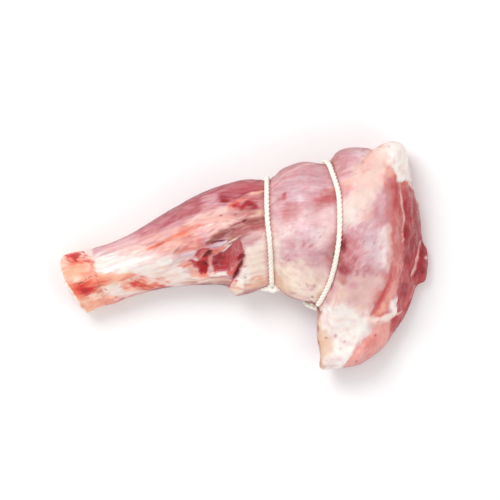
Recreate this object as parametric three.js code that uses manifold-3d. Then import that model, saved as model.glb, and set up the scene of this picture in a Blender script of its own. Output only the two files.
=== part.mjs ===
// Raw lamb shank: a sawn leg bone in its meat, with two turns of kitchen twine
// tied round the meaty end. Millimetres, +Z up. X runs from the sawn bone end to
// the cut meaty end, the shank lies on z = 0, and the origin is under its middle.
import * as THREE from "three";
import { mergeVertices } from "three/addons/utils/BufferGeometryUtils.js";
import Module from "manifold-3d";

const GAP = 0.3; // clearance between touching pieces
const TWINE_R = 1.5; // kitchen twine, 3 mm thick
const TWINE_PROUD = 0.35; // how far the twine's middle stands over the meat
const PINCH_DEPTH = 2.4; // how far the twine draws the meat in
const PINCH_WIDTH = 6.5;
const SLEEVE = 1.72; // station where the tissue starts and the bare bone ends
const SLEEVE_STEP = 1.0; // thickness of the tissue's edge on the bone
const BONE_END = 19; // station where the bone stops inside the meat
const SHAFT_HALF_WIDTH = 10;
const SHAFT_HALF_HEIGHT = 9;
const SHAFT_Z = [14.5, 16.5, 19]; // height of the shaft's middle: ankle, shin, calf
const ARCH = 3.5; // the slim leg stands this far off the floor between its ends

// Cross-sections from the sawn end to the tip of the cut end. Each runs from its
// lower side (xl, yl) to its upper side (xu, yu), with its crown height near the
// lower side, in the middle and near the upper side.
const STATIONS = [
  // name, xu, yu, xl, yl, zl, zm, zu
  ["sawn_end", -109.6, -0.3, -94.6, -34.5, 24, 29, 25],
  ["knuckle", -101.8, 2.4, -88.9, -32.4, 25, 30, 26],
  ["sleeve", -91.6, 4.5, -80.2, -29.9, 25, 31, 27],
  ["ankle", -80.8, 7.5, -70.6, -25.5, 26, 32, 27],
  ["shin_1", -68.8, 12.9, -59.2, -22.1, 27, 34, 29],
  ["shin_2", -56.8, 20.1, -47.8, -19.6, 28, 36, 31],
  ["shin_3", -42.4, 28.8, -34.6, -18.1, 30, 39, 34],
  ["shin_4", -29.2, 36.0, -22.6, -17.8, 31, 42, 36],
  ["wound", -15.4, 41.6, -11.2, -18.3, 33, 45, 39],
  ["calf_1", -2.8, 45.1, -3.8, -23.9, 35, 47, 41],
  ["calf_2", 7.4, 46.9, 9.2, -21.0, 37, 48, 42],
  ["tie_1", 14.0, 47.8, 16.4, -20.1, 38, 49, 43],
  ["calf_3", 21.2, 51.7, 23.6, -23.7, 41, 53, 46],
  ["calf_4", 31.4, 55.7, 31.4, -26.6, 43, 56, 48],
  ["calf_5", 40.4, 57.1, 35.6, -28.1, 43, 57, 48],
  ["tie_2", 48.2, 57.4, 39.5, -30.0, 42, 57, 48],
  ["flap_1", 54.2, 62.1, 42.5, -34.5, 38, 58, 50],
  ["flap_2", 60.2, 64.3, 43.4, -42.3, 36, 59, 51],
  ["flap_3", 66.8, 65.0, 44.0, -50.7, 34, 59, 52],
  ["flap_4", 73.4, 64.5, 45.5, -59.7, 32, 58, 51],
  ["flap_corner", 77.6, 64.1, 45.9, -67.5, 31, 57, 50],
  ["cap_1", 83.6, 67.2, 54.8, -67.5, 30, 55, 47],
  ["cap_2", 89.6, 67.8, 63.2, -67.2, 28, 51, 45],
  ["cap_3", 95.0, 65.7, 70.4, -65.4, 26, 47, 42],
  ["cut_1", 97.7, 58.5, 77.6, -60.9, 24, 43, 37],
  ["cut_2", 99.2, 49.5, 84.8, -54.6, 21, 36, 32],
  ["cut_3", 101.6, 40.5, 90.8, -45.9, 19, 29, 26],
  ["cut_4", 105.2, 31.5, 95.9, -38.7, 16, 22, 20],
  ["cut_5", 106.7, 21.3, 100.7, -29.1, 14, 17, 16],
  ["cut_6", 107.9, 9.3, 104.0, -19.2, 12, 14, 13],
  ["lobe", 110.0, 3.3, 108.8, -15.0, 11, 12, 11],
  ["tip", 110.6, -5.7, 110.6, -5.7, 9, 9, 9],
];
const LAST = STATIONS.length - 1;

// The sawn end stands out past its straight section line: share of the way from
// the upper to the lower side, and how far.
const SAWN_BOW = [
  [0, 0],
  [0.06, 2.2],
  [0.2, 4.2],
  [0.38, 5.3],
  [0.67, 3.4],
  [0.9, 2.2],
  [1, 0.3],
];

// Rim along the stations: height of the widest line, and how far in from the
// upper and the lower side the crown is still rounding over.
const RIM = [
  // station, z, upper radius, lower radius
  [0, 13, 15, 15],
  [4, 13, 17, 17],
  [8, 17, 27, 24],
  [11, 19, 30, 28],
  [15, 21, 34, 26],
  [17, 21, 34, 13],
  [20, 20, 32, 9],
  [22, 17, 24, 8],
  [24, 12, 14, 8],
  [26, 8, 7, 7],
  [28, 7, 5, 6],
  [31, 6, 5, 5],
];

const smooth = (a, b, v) => THREE.MathUtils.smoothstep(v, a, b);
const mix = THREE.MathUtils.lerp;

// A curve through the stations whose value at station s is curve.getPoint(s / LAST).
const through = (rows) =>
  new THREE.CatmullRomCurve3(
    rows.map((r) => new THREE.Vector3(...r)),
    false,
    "catmullrom",
  );
const UPPER = through(STATIONS.map(([, x, y]) => [x, y, 0]));
const LOWER = through(STATIONS.map(([, , , x, y]) => [x, y, 0]));
const CROWN = through(STATIONS.map((r) => r.slice(5)));

function table(rows, s) {
  let i = 0;
  while (i < rows.length - 2 && s > rows[i + 1][0]) i++;
  const t = THREE.MathUtils.clamp((s - rows[i][0]) / (rows[i + 1][0] - rows[i][0]), 0, 1);
  return rows[i].slice(1).map((v, k) => mix(v, rows[i + 1][k + 1], t));
}

// Distance from (x, y) to a chain of points.
function distanceTo(chain, x, y) {
  let best = Infinity;
  for (let i = 0; i + 1 < chain.length; i++) {
    const [ax, ay] = chain[i];
    const dx = chain[i + 1][0] - ax;
    const dy = chain[i + 1][1] - ay;
    const t = THREE.MathUtils.clamp(((x - ax) * dx + (y - ay) * dy) / (dx * dx + dy * dy || 1), 0, 1);
    best = Math.min(best, Math.hypot(x - ax - t * dx, y - ay - t * dy));
  }
  return best;
}
const chainOf = (curve) => curve.getPoints(LAST * 4).map((p) => [p.x, p.y]);
const UPPER_CHAIN = chainOf(UPPER);
const LOWER_CHAIN = chainOf(LOWER);

// Relief of the top: chains and middles in plan, with their size and depth.
const GROOVES = [
  // width, depth, chain
  [3.5, 2.6, [[77.0, 64.5], [73.5, 58.5], [69.8, 53.7]]], // fold by the cap
  [2.6, 2.0, [[93.2, 44.7], [95.6, 29.7], [95.9, 23.1], [95.6, 11.4]]], // seam between the cut muscles
  [2.6, 2.0, [[106.4, 8.7], [104.6, 1.5], [103.7, -6.9], [101.0, -12.3]]], // seam behind the lobe
  [3.0, 2.0, [[88.1, -7.5], [83.3, -19.8], [76.3, -34.5], [77.0, -37.5]]], // edge of the skin over the cut
  [3.0, 1.8, [[76.3, -44.5], [70.3, -51.7], [63.7, -60.9], [60.2, -65.5]]], // flap against the cut muscle
  [2.2, 5.0, [[-1.0, -1.5], [-3.5, -7.5], [-6.4, -13.5]]], // gap beside the torn muscle
];
const MOUNDS = [
  // x, y, half length, half width, turn, height
  [-10.5, -1.0, 12, 8.5, 0.5, -3.8], // hollow of the torn muscle
  [-27.0, -4.0, 7, 8, 0, -2.2], // torn spot beside it
  [-4.5, -18.5, 6, 5, 0, 2.0], // tip of the loose fat
  [90.2, -28.5, 5, 7, 0.3, 2.2], // lump of fat on the cut
  [107.0, -4.0, 4, 9, 0, 2.2], // lobe at the end of the cut
  [72.0, -57.0, 10, 7, 0.9, 2.2], // cut muscle under the flap
  [93.0, 62.0, 8, 6, 0, 2.5], // ragged cap
  [34.0, 8.0, 16, 14, 0, 1.6], // swelling between the ties
  [-33.0, 20.0, 22, 8, 0.45, 1.6], // muscle along the shin's upper side
  [-60.0, -9.0, 24, 6, -0.35, 1.2], // tendon along the shin's lower side
];

function relief(x, y) {
  let h = 0.7 * Math.sin(x / 9.5 + y / 14) * Math.sin(y / 8.5 - x / 21);
  for (const [width, depth, chain] of GROOVES) {
    const d = distanceTo(chain, x, y) / width;
    h -= depth * Math.exp(-d * d * 1.6);
  }
  for (const [cx, cy, a, b, turn, height] of MOUNDS) {
    const c = Math.cos(turn);
    const s = Math.sin(turn);
    const u = ((x - cx) * c + (y - cy) * s) / a;
    const v = ((y - cy) * c - (x - cx) * s) / b;
    h += height * Math.exp(-((u * u + v * v) ** 1.5));
  }
  return h;
}

// Rounding of the rim: 0 on the outline, 1 once it is `radius` inside.
const roundOver = (d, radius) => {
  const t = 1 - Math.min(d / radius, 1);
  return Math.sqrt(1 - t * t);
};

// Top and bottom height over the plan point (x, y), which lies on section s at
// share a of the way across, from -1 on the lower side to 1 on the upper side.
function heights(s, a, x, y) {
  const [rimZ, upperR, lowerR] = table(RIM, s);
  const crown = CROWN.getPoint(s / LAST);
  const dU = distanceTo(UPPER_CHAIN, x, y);
  const dL = distanceTo(LOWER_CHAIN, x, y);
  const across = a < 0 ? mix(crown.y, crown.x, smooth(0, 1, -a * 1.25)) : mix(crown.y, crown.z, smooth(0, 1, a * 1.25));
  const over = roundOver(dU, upperR) * roundOver(dL, lowerR);
  const under = roundOver(dU, rimZ * 0.9) * roundOver(dL, rimZ * 0.9);
  const floor = ARCH * smooth(1.5, 5, s) * (1 - smooth(7, 12, s));
  return [rimZ + (across + relief(x, y) - rimZ) * over, rimZ + (floor - rimZ) * under];
}

const planPoint = (s, a) => {
  const u = UPPER.getPoint(s / LAST);
  const l = LOWER.getPoint(s / LAST);
  const bow = s < 2 ? table(SAWN_BOW, (1 - a) / 2)[0] * (1 - s / 2) ** 2 : 0;
  const width = u.distanceTo(l) || 1;
  const x = mix(l.x, u.x, (a + 1) / 2) - (bow * (u.y - l.y)) / width;
  const y = mix(l.y, u.y, (a + 1) / 2) + (bow * (u.x - l.x)) / width;
  return [x, y];
};

// The section whose straight line passes through (x, y), and the share across it.
function stationAt(x, y) {
  let lo = SLEEVE;
  let hi = LAST;
  for (let i = 0; i < 30; i++) {
    const s = (lo + hi) / 2;
    const [lx, ly] = planPoint(s, -1);
    const [ux, uy] = planPoint(s, 1);
    if ((ux - lx) * (y - ly) - (uy - ly) * (x - lx) > 0) hi = s;
    else lo = s;
  }
  const [lx, ly] = planPoint(lo, -1);
  const [ux, uy] = planPoint(lo, 1);
  const t = ((x - lx) * (ux - lx) + (y - ly) * (uy - ly)) / ((ux - lx) ** 2 + (uy - ly) ** 2);
  return [lo, THREE.MathUtils.clamp(t * 2 - 1, -1, 1)];
}

const TOP_STEPS = 24; // facets across the top and the underside of a section
const UNDER_STEPS = 14;
const spread = (t) => 0.55 * Math.sin((t - 0.5) * Math.PI) + 0.9 * (t - 0.5);

// One closed ring of points round section s, from the lower side over the top.
function ring(s, over = TOP_STEPS, under = UNDER_STEPS) {
  const points = [];
  for (let i = 0; i < over + under; i++) {
    const top = i <= over;
    const a = top ? spread(i / over) : spread(1 - (i - over) / under);
    const [x, y] = planPoint(s, a);
    const z = heights(s, a, x, y)[top ? 0 : 1];
    points.push(new THREE.Vector3(x, y, z));
  }
  return points;
}

// A closed body from rings of points, with a fan on each end. A sawn first end is
// a wall instead, from each point of the top to the one under it.
function loft(rings, sawn = false) {
  const n = rings[0].length;
  const positions = rings.flat().flatMap((p) => [p.x, p.y, p.z]);
  const index = [];
  for (let j = 0; j + 1 < rings.length; j++) {
    for (let i = 0; i < n; i++) {
      const a = j * n + i;
      const b = j * n + ((i + 1) % n);
      index.push(a, a + n, b, b, a + n, b + n);
    }
  }
  for (let i = 0; sawn && i < n / 2; i++) {
    const [a, b, c, d] = [i, i + 1, n - i - 1, (n - i) % n];
    if (c !== b) index.push(a, b, c);
    if (d !== a) index.push(a, c, d);
  }
  for (const [at, turn] of [[0, false], [rings.length - 1, true]]) {
    if (sawn && at === 0) continue;
    const middle = rings[at].reduce((m, p) => m.add(p), new THREE.Vector3()).divideScalar(n);
    const k = positions.length / 3;
    positions.push(middle.x, middle.y, middle.z);
    for (let i = 0; i < n; i++) {
      const a = at * n + i;
      const b = at * n + ((i + 1) % n);
      index.push(...(turn ? [k, b, a] : [k, a, b]));
    }
  }
  const g = new THREE.BufferGeometry();
  g.setAttribute("position", new THREE.Float32BufferAttribute(positions, 3));
  g.setIndex(index);
  return g;
}

// Moves each point along its normal by amount(point).
function swell(geometry, amount) {
  const g = mergeVertices(geometry, 1e-4);
  g.computeVertexNormals();
  const p = g.getAttribute("position");
  const n = g.getAttribute("normal");
  const at = new THREE.Vector3();
  const out = new THREE.Vector3();
  for (let i = 0; i < p.count; i++) {
    at.fromBufferAttribute(p, i);
    out.fromBufferAttribute(n, i);
    at.addScaledVector(out, amount(at));
    p.setXYZ(i, at.x, at.y, at.z);
  }
  g.deleteAttribute("normal");
  return g;
}

const wasm = await Module();
wasm.setup();
function solid(geometry) {
  const g = geometry.clone();
  g.deleteAttribute("normal");
  g.deleteAttribute("uv");
  const m = mergeVertices(g, 1e-4);
  return new wasm.Manifold(
    new wasm.Mesh({
      numProp: 3,
      vertProperties: m.getAttribute("position").array,
      triVerts: new Uint32Array(m.getIndex().array),
    }),
  );
}
function geometryOf(made) {
  const m = made.getMesh();
  const g = new THREE.BufferGeometry();
  g.setAttribute("position", new THREE.Float32BufferAttribute(m.vertProperties, 3));
  g.setIndex(new THREE.Uint32BufferAttribute(m.triVerts, 1));
  return g;
}

// ---- Twine: a plan line over the top, one underneath, and a knot at the lower side.
const TIES = {
  twine_slim_side: {
    over: [[13.6, 48.5], [13.4, 44.7], [13.3, 33.2], [13.6, 21.7], [14.8, 10.3], [15.5, -1.3], [16.0, -12.7], [16.3, -20.5]],
    under: [[13.6, 48.5], [14.0, 15.0], [16.3, -20.5]],
    knot: [16.6, 3.2],
  },
  twine_meaty_side: {
    over: [[48.2, 58.4], [50.6, 56.5], [52.0, 52.1], [53.9, 46.3], [55.4, 40.9], [56.3, 35.8], [56.6, 21.7], [56.1, 10.3], [55.1, 1.9], [53.5, -7.4], [51.1, -16.5], [48.1, -23.4], [44.0, -31.0]],
    under: [[48.2, 58.4], [43.0, 48.0], [40.5, 15.0], [41.0, -20.0], [44.0, -31.0]],
    knot: [43.2, 3.9],
  },
};

const xAlong = (chain, y) => {
  let i = 0;
  while (i < chain.length - 2 && y < chain[i + 1][1]) i++;
  const [[xa, ya], [xb, yb]] = [chain[i], chain[i + 1]];
  return mix(xa, xb, THREE.MathUtils.clamp((ya - y) / (ya - yb || 1), 0, 1));
};

// The meat's height along a tie's plan line, as a closed loop of points.
function loopAround({ over, under }, steps) {
  const yTop = over[0][1];
  const yLow = over[over.length - 1][1];
  const points = [];
  const half = 90;
  for (let k = 0; k < 2 * half; k++) {
    const top = k < half;
    const t = (k % half) / half;
    const y = mix(yTop, yLow, 0.5 - 0.5 * Math.cos(Math.PI * (top ? t : 1 - t)));
    const x = xAlong(top ? over : under, y);
    const [s, a] = stationAt(x, y);
    const z = heights(s, a, ...planPoint(s, a))[top ? 0 : 1];
    points.push(new THREE.Vector3(x, y, z));
  }
  let line = points;
  for (let pass = 0; pass < 3; pass++) {
    const n = line.length;
    line = line.map((p, i) =>
      p.clone().multiplyScalar(2).add(line[(i + n - 1) % n]).add(line[(i + 1) % n]).divideScalar(4),
    );
  }
  const even = new THREE.CatmullRomCurve3(line, true, "centripetal").getSpacedPoints(steps).slice(0, steps);
  return even.map((p, i) => {
    const along = even[(i + 1) % steps].clone().sub(even[(i + steps - 1) % steps]);
    const out = new THREE.Vector3(0, along.z, -along.y).normalize();
    const q = p.clone().addScaledVector(out, -(PINCH_DEPTH - TWINE_PROUD - TWINE_R * 0.2));
    q.z = Math.max(q.z, TWINE_R + 0.12);
    return q;
  });
}

const TIE_STEPS = 56;
const loops = {};
for (const [name, tie] of Object.entries(TIES)) loops[name] = loopAround(tie, TIE_STEPS);

function twineSolid(name, extra) {
  const line = new THREE.CatmullRomCurve3(loops[name], true, "centripetal");
  const r = TWINE_R + extra;
  const tube = solid(new THREE.TubeGeometry(line, TIE_STEPS, r / Math.cos(Math.PI / 8) ** 0.5, 8, true));
  const [kx, width] = TIES[name].knot;
  // the knot sits where the loop turns under the lower side
  const low = loops[name].reduce((m, p) => (p.y < m.y ? p : m));
  const body = new THREE.SphereGeometry(1, 10, 6).scale(width + extra, 2.5 + extra, 2.6 + extra).translate(kx, low.y - 0.4, low.z + 1.6);
  let made = tube.add(solid(body));
  for (const side of [-1, 1]) {
    const tail = new THREE.CapsuleGeometry(1.25 + extra, 4.5, 2, 6)
      .rotateZ(side * 1.15)
      .translate(kx + side * (width + 0.6), low.y - 1.2, low.z + 1.0);
    made = made.add(solid(tail));
  }
  return made;
}

// ---- Body of the shank, drawn in where the twine lies.
function pinch(p) {
  let d = 0;
  for (const loop of Object.values(loops)) {
    const near = loop.reduce((m, q) => Math.min(m, q.distanceTo(p)), Infinity);
    d = Math.max(d, PINCH_DEPTH * Math.exp(-((Math.max(near - 1.5, 0) / PINCH_WIDTH) ** 2)));
  }
  return -d;
}

const stationsFrom = (from, to, step) => {
  const list = [];
  const n = Math.round((to - from) / step);
  for (let i = 0; i <= n; i++) list.push(mix(from, to, i / n));
  return list;
};

const bodyRings = [...stationsFrom(SLEEVE, 30, 0.48), 30.4, 30.75, 30.93].map((s) => ring(s));
const flatFloor = (g) => {
  const p = g.getAttribute("position");
  for (let i = 0; i < p.count; i++) if (p.getZ(i) < 0.02) p.setZ(i, 0);
  return g;
};
const body = flatFloor(swell(loft(bodyRings), pinch));

// ---- Bone: the bare knuckle follows the leg's outline, the shaft is an oval.
function boneRings(extra) {
  const rings = [];
  for (const s of [0, 0.5, 1, 1.4, SLEEVE, 2.1, 2.6, 3.2, 4, 5, 6.5, 8, 10, 12, 14, 16, 18, BONE_END]) {
    const [lx, ly] = planPoint(s, -1);
    const [ux, uy] = planPoint(s, 1);
    const across = new THREE.Vector3(ux - lx, uy - ly, 0).normalize();
    const t = smooth(1.5, 3.2, s);
    const knee = smooth(14, BONE_END, s) * 3;
    const z = s < 8 ? mix(SHAFT_Z[0], SHAFT_Z[1], s / 8) : mix(SHAFT_Z[1], SHAFT_Z[2], smooth(8, 14, s));
    const middle = new THREE.Vector3(...planPoint(s, 0.08), z);
    const shrink = mix(0, SLEEVE_STEP, smooth(0.4, SLEEVE, s)) - extra;
    const outer = ring(s, 12, 12);
    const centre = outer.reduce((m, p) => m.add(p), new THREE.Vector3()).divideScalar(outer.length);
    rings.push(
      outer.map((p, i) => {
        const turn = Math.PI - (i / outer.length) * 2 * Math.PI;
        const out = p.clone().sub(centre).normalize();
        const skin = p.clone().addScaledVector(out, -shrink);
        const shaft = middle
          .clone()
          .addScaledVector(across, Math.cos(turn) * (SHAFT_HALF_WIDTH + knee + extra))
          .add(new THREE.Vector3(0, 0, Math.sin(turn) * (SHAFT_HALF_HEIGHT + knee * 0.6 + extra)));
        return skin.lerp(shaft, t);
      }),
    );
  }
  return rings;
}

const boneSolid = solid(flatFloor(loft(boneRings(0), true)));
const boneRoom = solid(loft(boneRings(GAP), true));
let meatSolid = solid(body).subtract(boneRoom);
for (const name of Object.keys(TIES)) meatSolid = meatSolid.subtract(twineSolid(name, GAP));
const largest = meatSolid.decompose().reduce((m, b) => (b.volume() > m.volume() ? b : m));

// ---- Scene graph
const shank = new THREE.Group();
shank.name = "lamb_shank";
function piece(name, geometry, color, roughness) {
  const mesh = new THREE.Mesh(geometry, new THREE.MeshStandardMaterial({ color, roughness, metalness: 0 }));
  mesh.name = name;
  shank.add(mesh);
}
piece("meat", geometryOf(largest), 0xd9a9a2, 0.45);
piece("bone", geometryOf(boneSolid), 0xf0c9ae, 0.5);
for (const name of Object.keys(TIES)) piece(name, geometryOf(twineSolid(name, 0)), 0xf3ead8, 0.9);

export default shank;
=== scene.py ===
"""A raw lamb shank tied with two turns of kitchen twine, seen from straight above."""

import math

import bmesh
import bpy
import numpy as np
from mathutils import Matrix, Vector

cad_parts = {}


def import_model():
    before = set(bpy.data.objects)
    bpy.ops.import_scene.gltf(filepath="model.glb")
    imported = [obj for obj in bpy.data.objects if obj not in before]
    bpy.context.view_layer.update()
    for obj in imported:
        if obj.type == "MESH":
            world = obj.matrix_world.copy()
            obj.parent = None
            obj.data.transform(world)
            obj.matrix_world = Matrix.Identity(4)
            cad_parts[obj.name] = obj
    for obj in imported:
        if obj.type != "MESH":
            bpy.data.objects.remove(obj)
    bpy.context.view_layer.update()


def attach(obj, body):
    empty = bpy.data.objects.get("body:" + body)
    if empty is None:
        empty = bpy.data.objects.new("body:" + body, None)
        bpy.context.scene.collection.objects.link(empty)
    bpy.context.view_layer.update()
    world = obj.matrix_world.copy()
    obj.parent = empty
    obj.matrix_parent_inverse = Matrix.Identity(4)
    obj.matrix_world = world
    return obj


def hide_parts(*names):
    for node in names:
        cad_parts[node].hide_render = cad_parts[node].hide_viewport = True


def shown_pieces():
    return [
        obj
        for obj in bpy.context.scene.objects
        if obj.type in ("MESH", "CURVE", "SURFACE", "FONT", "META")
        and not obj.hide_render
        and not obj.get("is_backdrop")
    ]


MM = 0.001

# ---------------------------------------------------------------- sizes, in mm

TWINE_R = 1.5
TWINE_PROUD = 0.35
# the meat is drawn in round each tie, and the twine presses a bed into it
PINCH_DEPTH, PINCH_WIDTH = 2.4, 6.5
BED_DEPTH, BED_WIDTH = 0.8, 1.9
# the station where the meat's edge lies on the bone, and the meat's thickness there
SLEEVE, SLEEVE_STEP = 1.72, 1.0
# clear height under the ankle
ARCH = 3.5

# Each row is one station along the shank: the upper side's x and y, the lower side's x and y,
# and the crown's height near the lower side, in the middle and near the upper side.
STATIONS = [
    ("sawn_end", -109.6, -0.3, -94.6, -34.5, 24, 29, 25),
    ("knuckle", -101.8, 2.4, -88.9, -32.4, 25, 30, 26),
    ("sleeve", -91.6, 4.5, -80.2, -29.9, 25, 31, 27),
    ("ankle", -80.8, 7.5, -70.6, -25.5, 26, 32, 27),
    ("shin_1", -68.8, 12.9, -59.2, -22.1, 27, 34, 29),
    ("shin_2", -56.8, 20.1, -47.8, -19.6, 28, 36, 31),
    ("shin_3", -42.4, 28.8, -34.6, -18.1, 30, 39, 34),
    ("shin_4", -29.2, 36, -22.6, -17.8, 31, 42, 36),
    ("wound", -15.4, 41.6, -11.2, -18.3, 33, 45, 39),
    ("calf_1", -2.8, 45.1, -3.8, -23.9, 35, 47, 41),
    ("calf_2", 7.4, 46.9, 9.2, -21, 37, 48, 42),
    ("tie_1", 14, 47.8, 16.4, -20.1, 38, 49, 43),
    ("calf_3", 21.2, 51.7, 23.6, -23.7, 41, 53, 46),
    ("calf_4", 31.4, 55.7, 31.4, -26.6, 43, 56, 48),
    ("calf_5", 40.4, 57.1, 35.6, -28.1, 43, 57, 48),
    ("tie_2", 48.2, 57.4, 39.5, -30, 42, 57, 48),
    ("flap_1", 54.2, 62.1, 42.5, -34.5, 38, 58, 50),
    ("flap_2", 60.2, 64.3, 43.4, -42.3, 36, 59, 51),
    ("flap_3", 66.8, 65, 44, -50.7, 34, 59, 52),
    ("flap_4", 73.4, 64.5, 45.5, -59.7, 32, 58, 51),
    ("flap_corner", 77.6, 64.1, 45.9, -67.5, 31, 57, 50),
    ("cap_1", 83.6, 67.2, 54.8, -67.5, 30, 55, 47),
    ("cap_2", 89.6, 67.8, 63.2, -67.2, 28, 51, 45),
    ("cap_3", 95, 65.7, 70.4, -65.4, 26, 47, 42),
    ("cut_1", 97.7, 58.5, 77.6, -60.9, 24, 43, 37),
    ("cut_2", 99.2, 49.5, 84.8, -54.6, 21, 36, 32),
    ("cut_3", 101.6, 40.5, 90.8, -45.9, 19, 29, 26),
    ("cut_4", 105.2, 31.5, 95.9, -38.7, 16, 22, 20),
    ("cut_5", 106.7, 21.3, 100.7, -29.1, 14, 17, 16),
    ("cut_6", 107.9, 9.3, 104, -19.2, 12, 14, 13),
    ("lobe", 110, 3.3, 108.8, -15, 11, 12, 11),
    ("tip", 110.6, -5.7, 110.6, -5.7, 9, 9, 9),
]
TABLE = np.array([row[1:] for row in STATIONS], float)
LAST = len(STATIONS) - 1
UPPER, LOWER, CROWN = TABLE[:, 0:2], TABLE[:, 2:4], TABLE[:, 4:7]

# the share of the way from the upper to the lower side, and how far the sawn end stands out there
SAWN_BOW = np.array([(0, 0), (0.06, 2.2), (0.2, 4.2), (0.38, 5.3), (0.67, 3.4), (0.9, 2.2), (1, 0.3)])

# station, height of the widest line, rounding radius of the upper and the lower side
RIM = np.array(
    [
        (0, 13, 15, 15),
        (4, 13, 17, 17),
        (8, 17, 27, 24),
        (11, 19, 30, 28),
        (15, 21, 34, 26),
        (17, 21, 34, 13),
        (20, 20, 32, 9),
        (22, 17, 24, 8),
        (24, 12, 14, 8),
        (26, 8, 7, 7),
        (28, 7, 5, 6),
        (31, 6, 5, 5),
    ],
    float,
)

# width, depth and line of each furrow
GROOVES = [
    (3.5, 2.6, [(77, 64.5), (73.5, 58.5), (69.8, 53.7)]),
    (2.6, 2, [(93.2, 44.7), (95.6, 29.7), (95.9, 23.1), (95.6, 11.4)]),
    (2.6, 2, [(106.4, 8.7), (104.6, 1.5), (103.7, -6.9), (101, -12.3)]),
    (3, 2, [(88.1, -7.5), (83.3, -19.8), (76.3, -34.5), (77, -37.5)]),
    (3, 1.8, [(76.3, -44.5), (70.3, -51.7), (63.7, -60.9), (60.2, -65.5)]),
    (2.2, 5, [(-1, -1.5), (-3.5, -7.5), (-6.4, -13.5)]),
]
# x, y, half length, half width, turn in radians and height of each low swelling or hollow
MOUNDS = [
    (-10.5, -1, 12, 8.5, 0.5, -3.8),
    (-27, -4, 7, 8, 0, -2.2),
    (-4.5, -18.5, 6, 5, 0, 2),
    (90.2, -28.5, 5, 7, 0.3, 2.2),
    (107, -4, 4, 9, 0, 2.2),
    (72, -57, 10, 7, 0.9, 2.2),
    (93, 62, 8, 6, 0, 2.5),
    (34, 8, 16, 14, 0, 1.6),
    (-33, 20, 22, 8, 0.45, 1.6),
    (-60, -9, 24, 6, -0.35, 1.2),
]
# each tie's line in plan over the top and under the leg, its knot's x and half width, and its tails' droop
TIES = {
    "twine_slim_side": {
        "over": [
            (13.6, 48.5), (13.4, 44.7), (13.3, 33.2), (13.6, 21.7),
            (14.8, 10.3), (15.5, -1.3), (16, -12.7), (16.3, -20.5),
        ],
        "under": [(13.6, 48.5), (14, 15), (16.3, -20.5)],
        "knot": (16.6, 3.2),
        "droop": 0,
    },
    "twine_meaty_side": {
        "over": [
            (48.2, 58.4), (50.6, 56.5), (52, 52.1), (53.9, 46.3), (55.4, 40.9), (56.3, 35.8),
            (56.6, 21.7), (56.1, 10.3), (55.1, 1.9), (53.5, -7.4), (51.1, -16.5), (48.1, -23.4),
            (44, -31),
        ],
        "under": [(48.2, 58.4), (43, 48), (40.5, 15), (41, -20), (44, -31)],
        "knot": (43.2, 3.9),
        "droop": 1,
    },
}

# ---------------------------------------------------------------- small maths


def smooth(low, high, value):
    t = np.clip((value - low) / (high - low), 0.0, 1.0)
    return t * t * (3 - 2 * t)


def mix(a, b, t):
    return a + (b - a) * t


def spline(points, s):
    """Catmull-Rom curve through the stations' values, at stations s."""
    n = len(points)
    i = np.clip(np.floor(s).astype(int), 0, n - 2)
    w = (s - i)[..., None]
    p = np.vstack([2 * points[0] - points[1], points, 2 * points[-1] - points[-2]])
    a, b, c, d = p[i], p[i + 1], p[i + 2], p[i + 3]
    return 0.5 * (2 * b + (c - a) * w + (2 * a - 5 * b + 4 * c - d) * w**2 + (3 * b - a - 3 * c + d) * w**3)


def chain_distance(chain, x, y):
    """Distance from plan points to a chain, and the share of the way along it."""
    best = np.full(x.shape, 1e9)
    where = np.zeros(x.shape)
    chain = np.asarray(chain, float)
    steps = np.hypot(*np.diff(chain, axis=0).T)
    total = steps.sum() or 1.0
    done = 0.0
    for (ax, ay), (bx, by), step in zip(chain[:-1], chain[1:], steps):
        dx, dy = bx - ax, by - ay
        t = np.clip(((x - ax) * dx + (y - ay) * dy) / (dx * dx + dy * dy or 1.0), 0, 1)
        d = np.hypot(x - ax - t * dx, y - ay - t * dy)
        near = d < best
        best = np.where(near, d, best)
        where = np.where(near, (done + t * step) / total, where)
        done += step
    return best, where


def inside(ring, x, y):
    """Signed distance to a closed outline, below zero inside it."""
    ring = list(ring)
    d, _ = chain_distance(ring + ring[:1], x, y)
    odd = np.zeros(x.shape, bool)
    for (ax, ay), (bx, by) in zip(ring, ring[1:] + ring[:1]):
        if ay != by:
            odd ^= ((ay > y) != (by > y)) & (x < (bx - ax) * (y - ay) / (by - ay) + ax)
    return np.where(odd, -d, d)


LATTICE = np.random.default_rng(7).random((64, 64, 64))


def lattice_noise(p, size, seed=0):
    """Smooth noise from -1 to 1 with features of the given size."""
    q = p / size + 17.3 * seed + 5.1
    i = np.floor(q).astype(int)
    f = q - i
    f = f * f * (3 - 2 * f)
    out = np.zeros(len(p))
    for dx in (0, 1):
        for dy in (0, 1):
            for dz in (0, 1):
                w = np.abs(1 - dx - f[:, 0]) * np.abs(1 - dy - f[:, 1]) * np.abs(1 - dz - f[:, 2])
                out += w * LATTICE[(i[:, 0] + dx) % 64, (i[:, 1] + dy) % 64, (i[:, 2] + dz) % 64]
    return out * 2 - 1


def cloud(p, size, seed=0, octaves=3):
    total = sum(lattice_noise(p, size / 2**k, seed + k) / 2**k for k in range(octaves))
    return total / (2 - 0.5 ** (octaves - 1))


# ---------------------------------------------------------------- form of the shank

CHAIN_STEPS = 10
UPPER_CHAIN = spline(UPPER, np.linspace(0, LAST, LAST * CHAIN_STEPS + 1))
LOWER_CHAIN = spline(LOWER, np.linspace(0, LAST, LAST * CHAIN_STEPS + 1))


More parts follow.
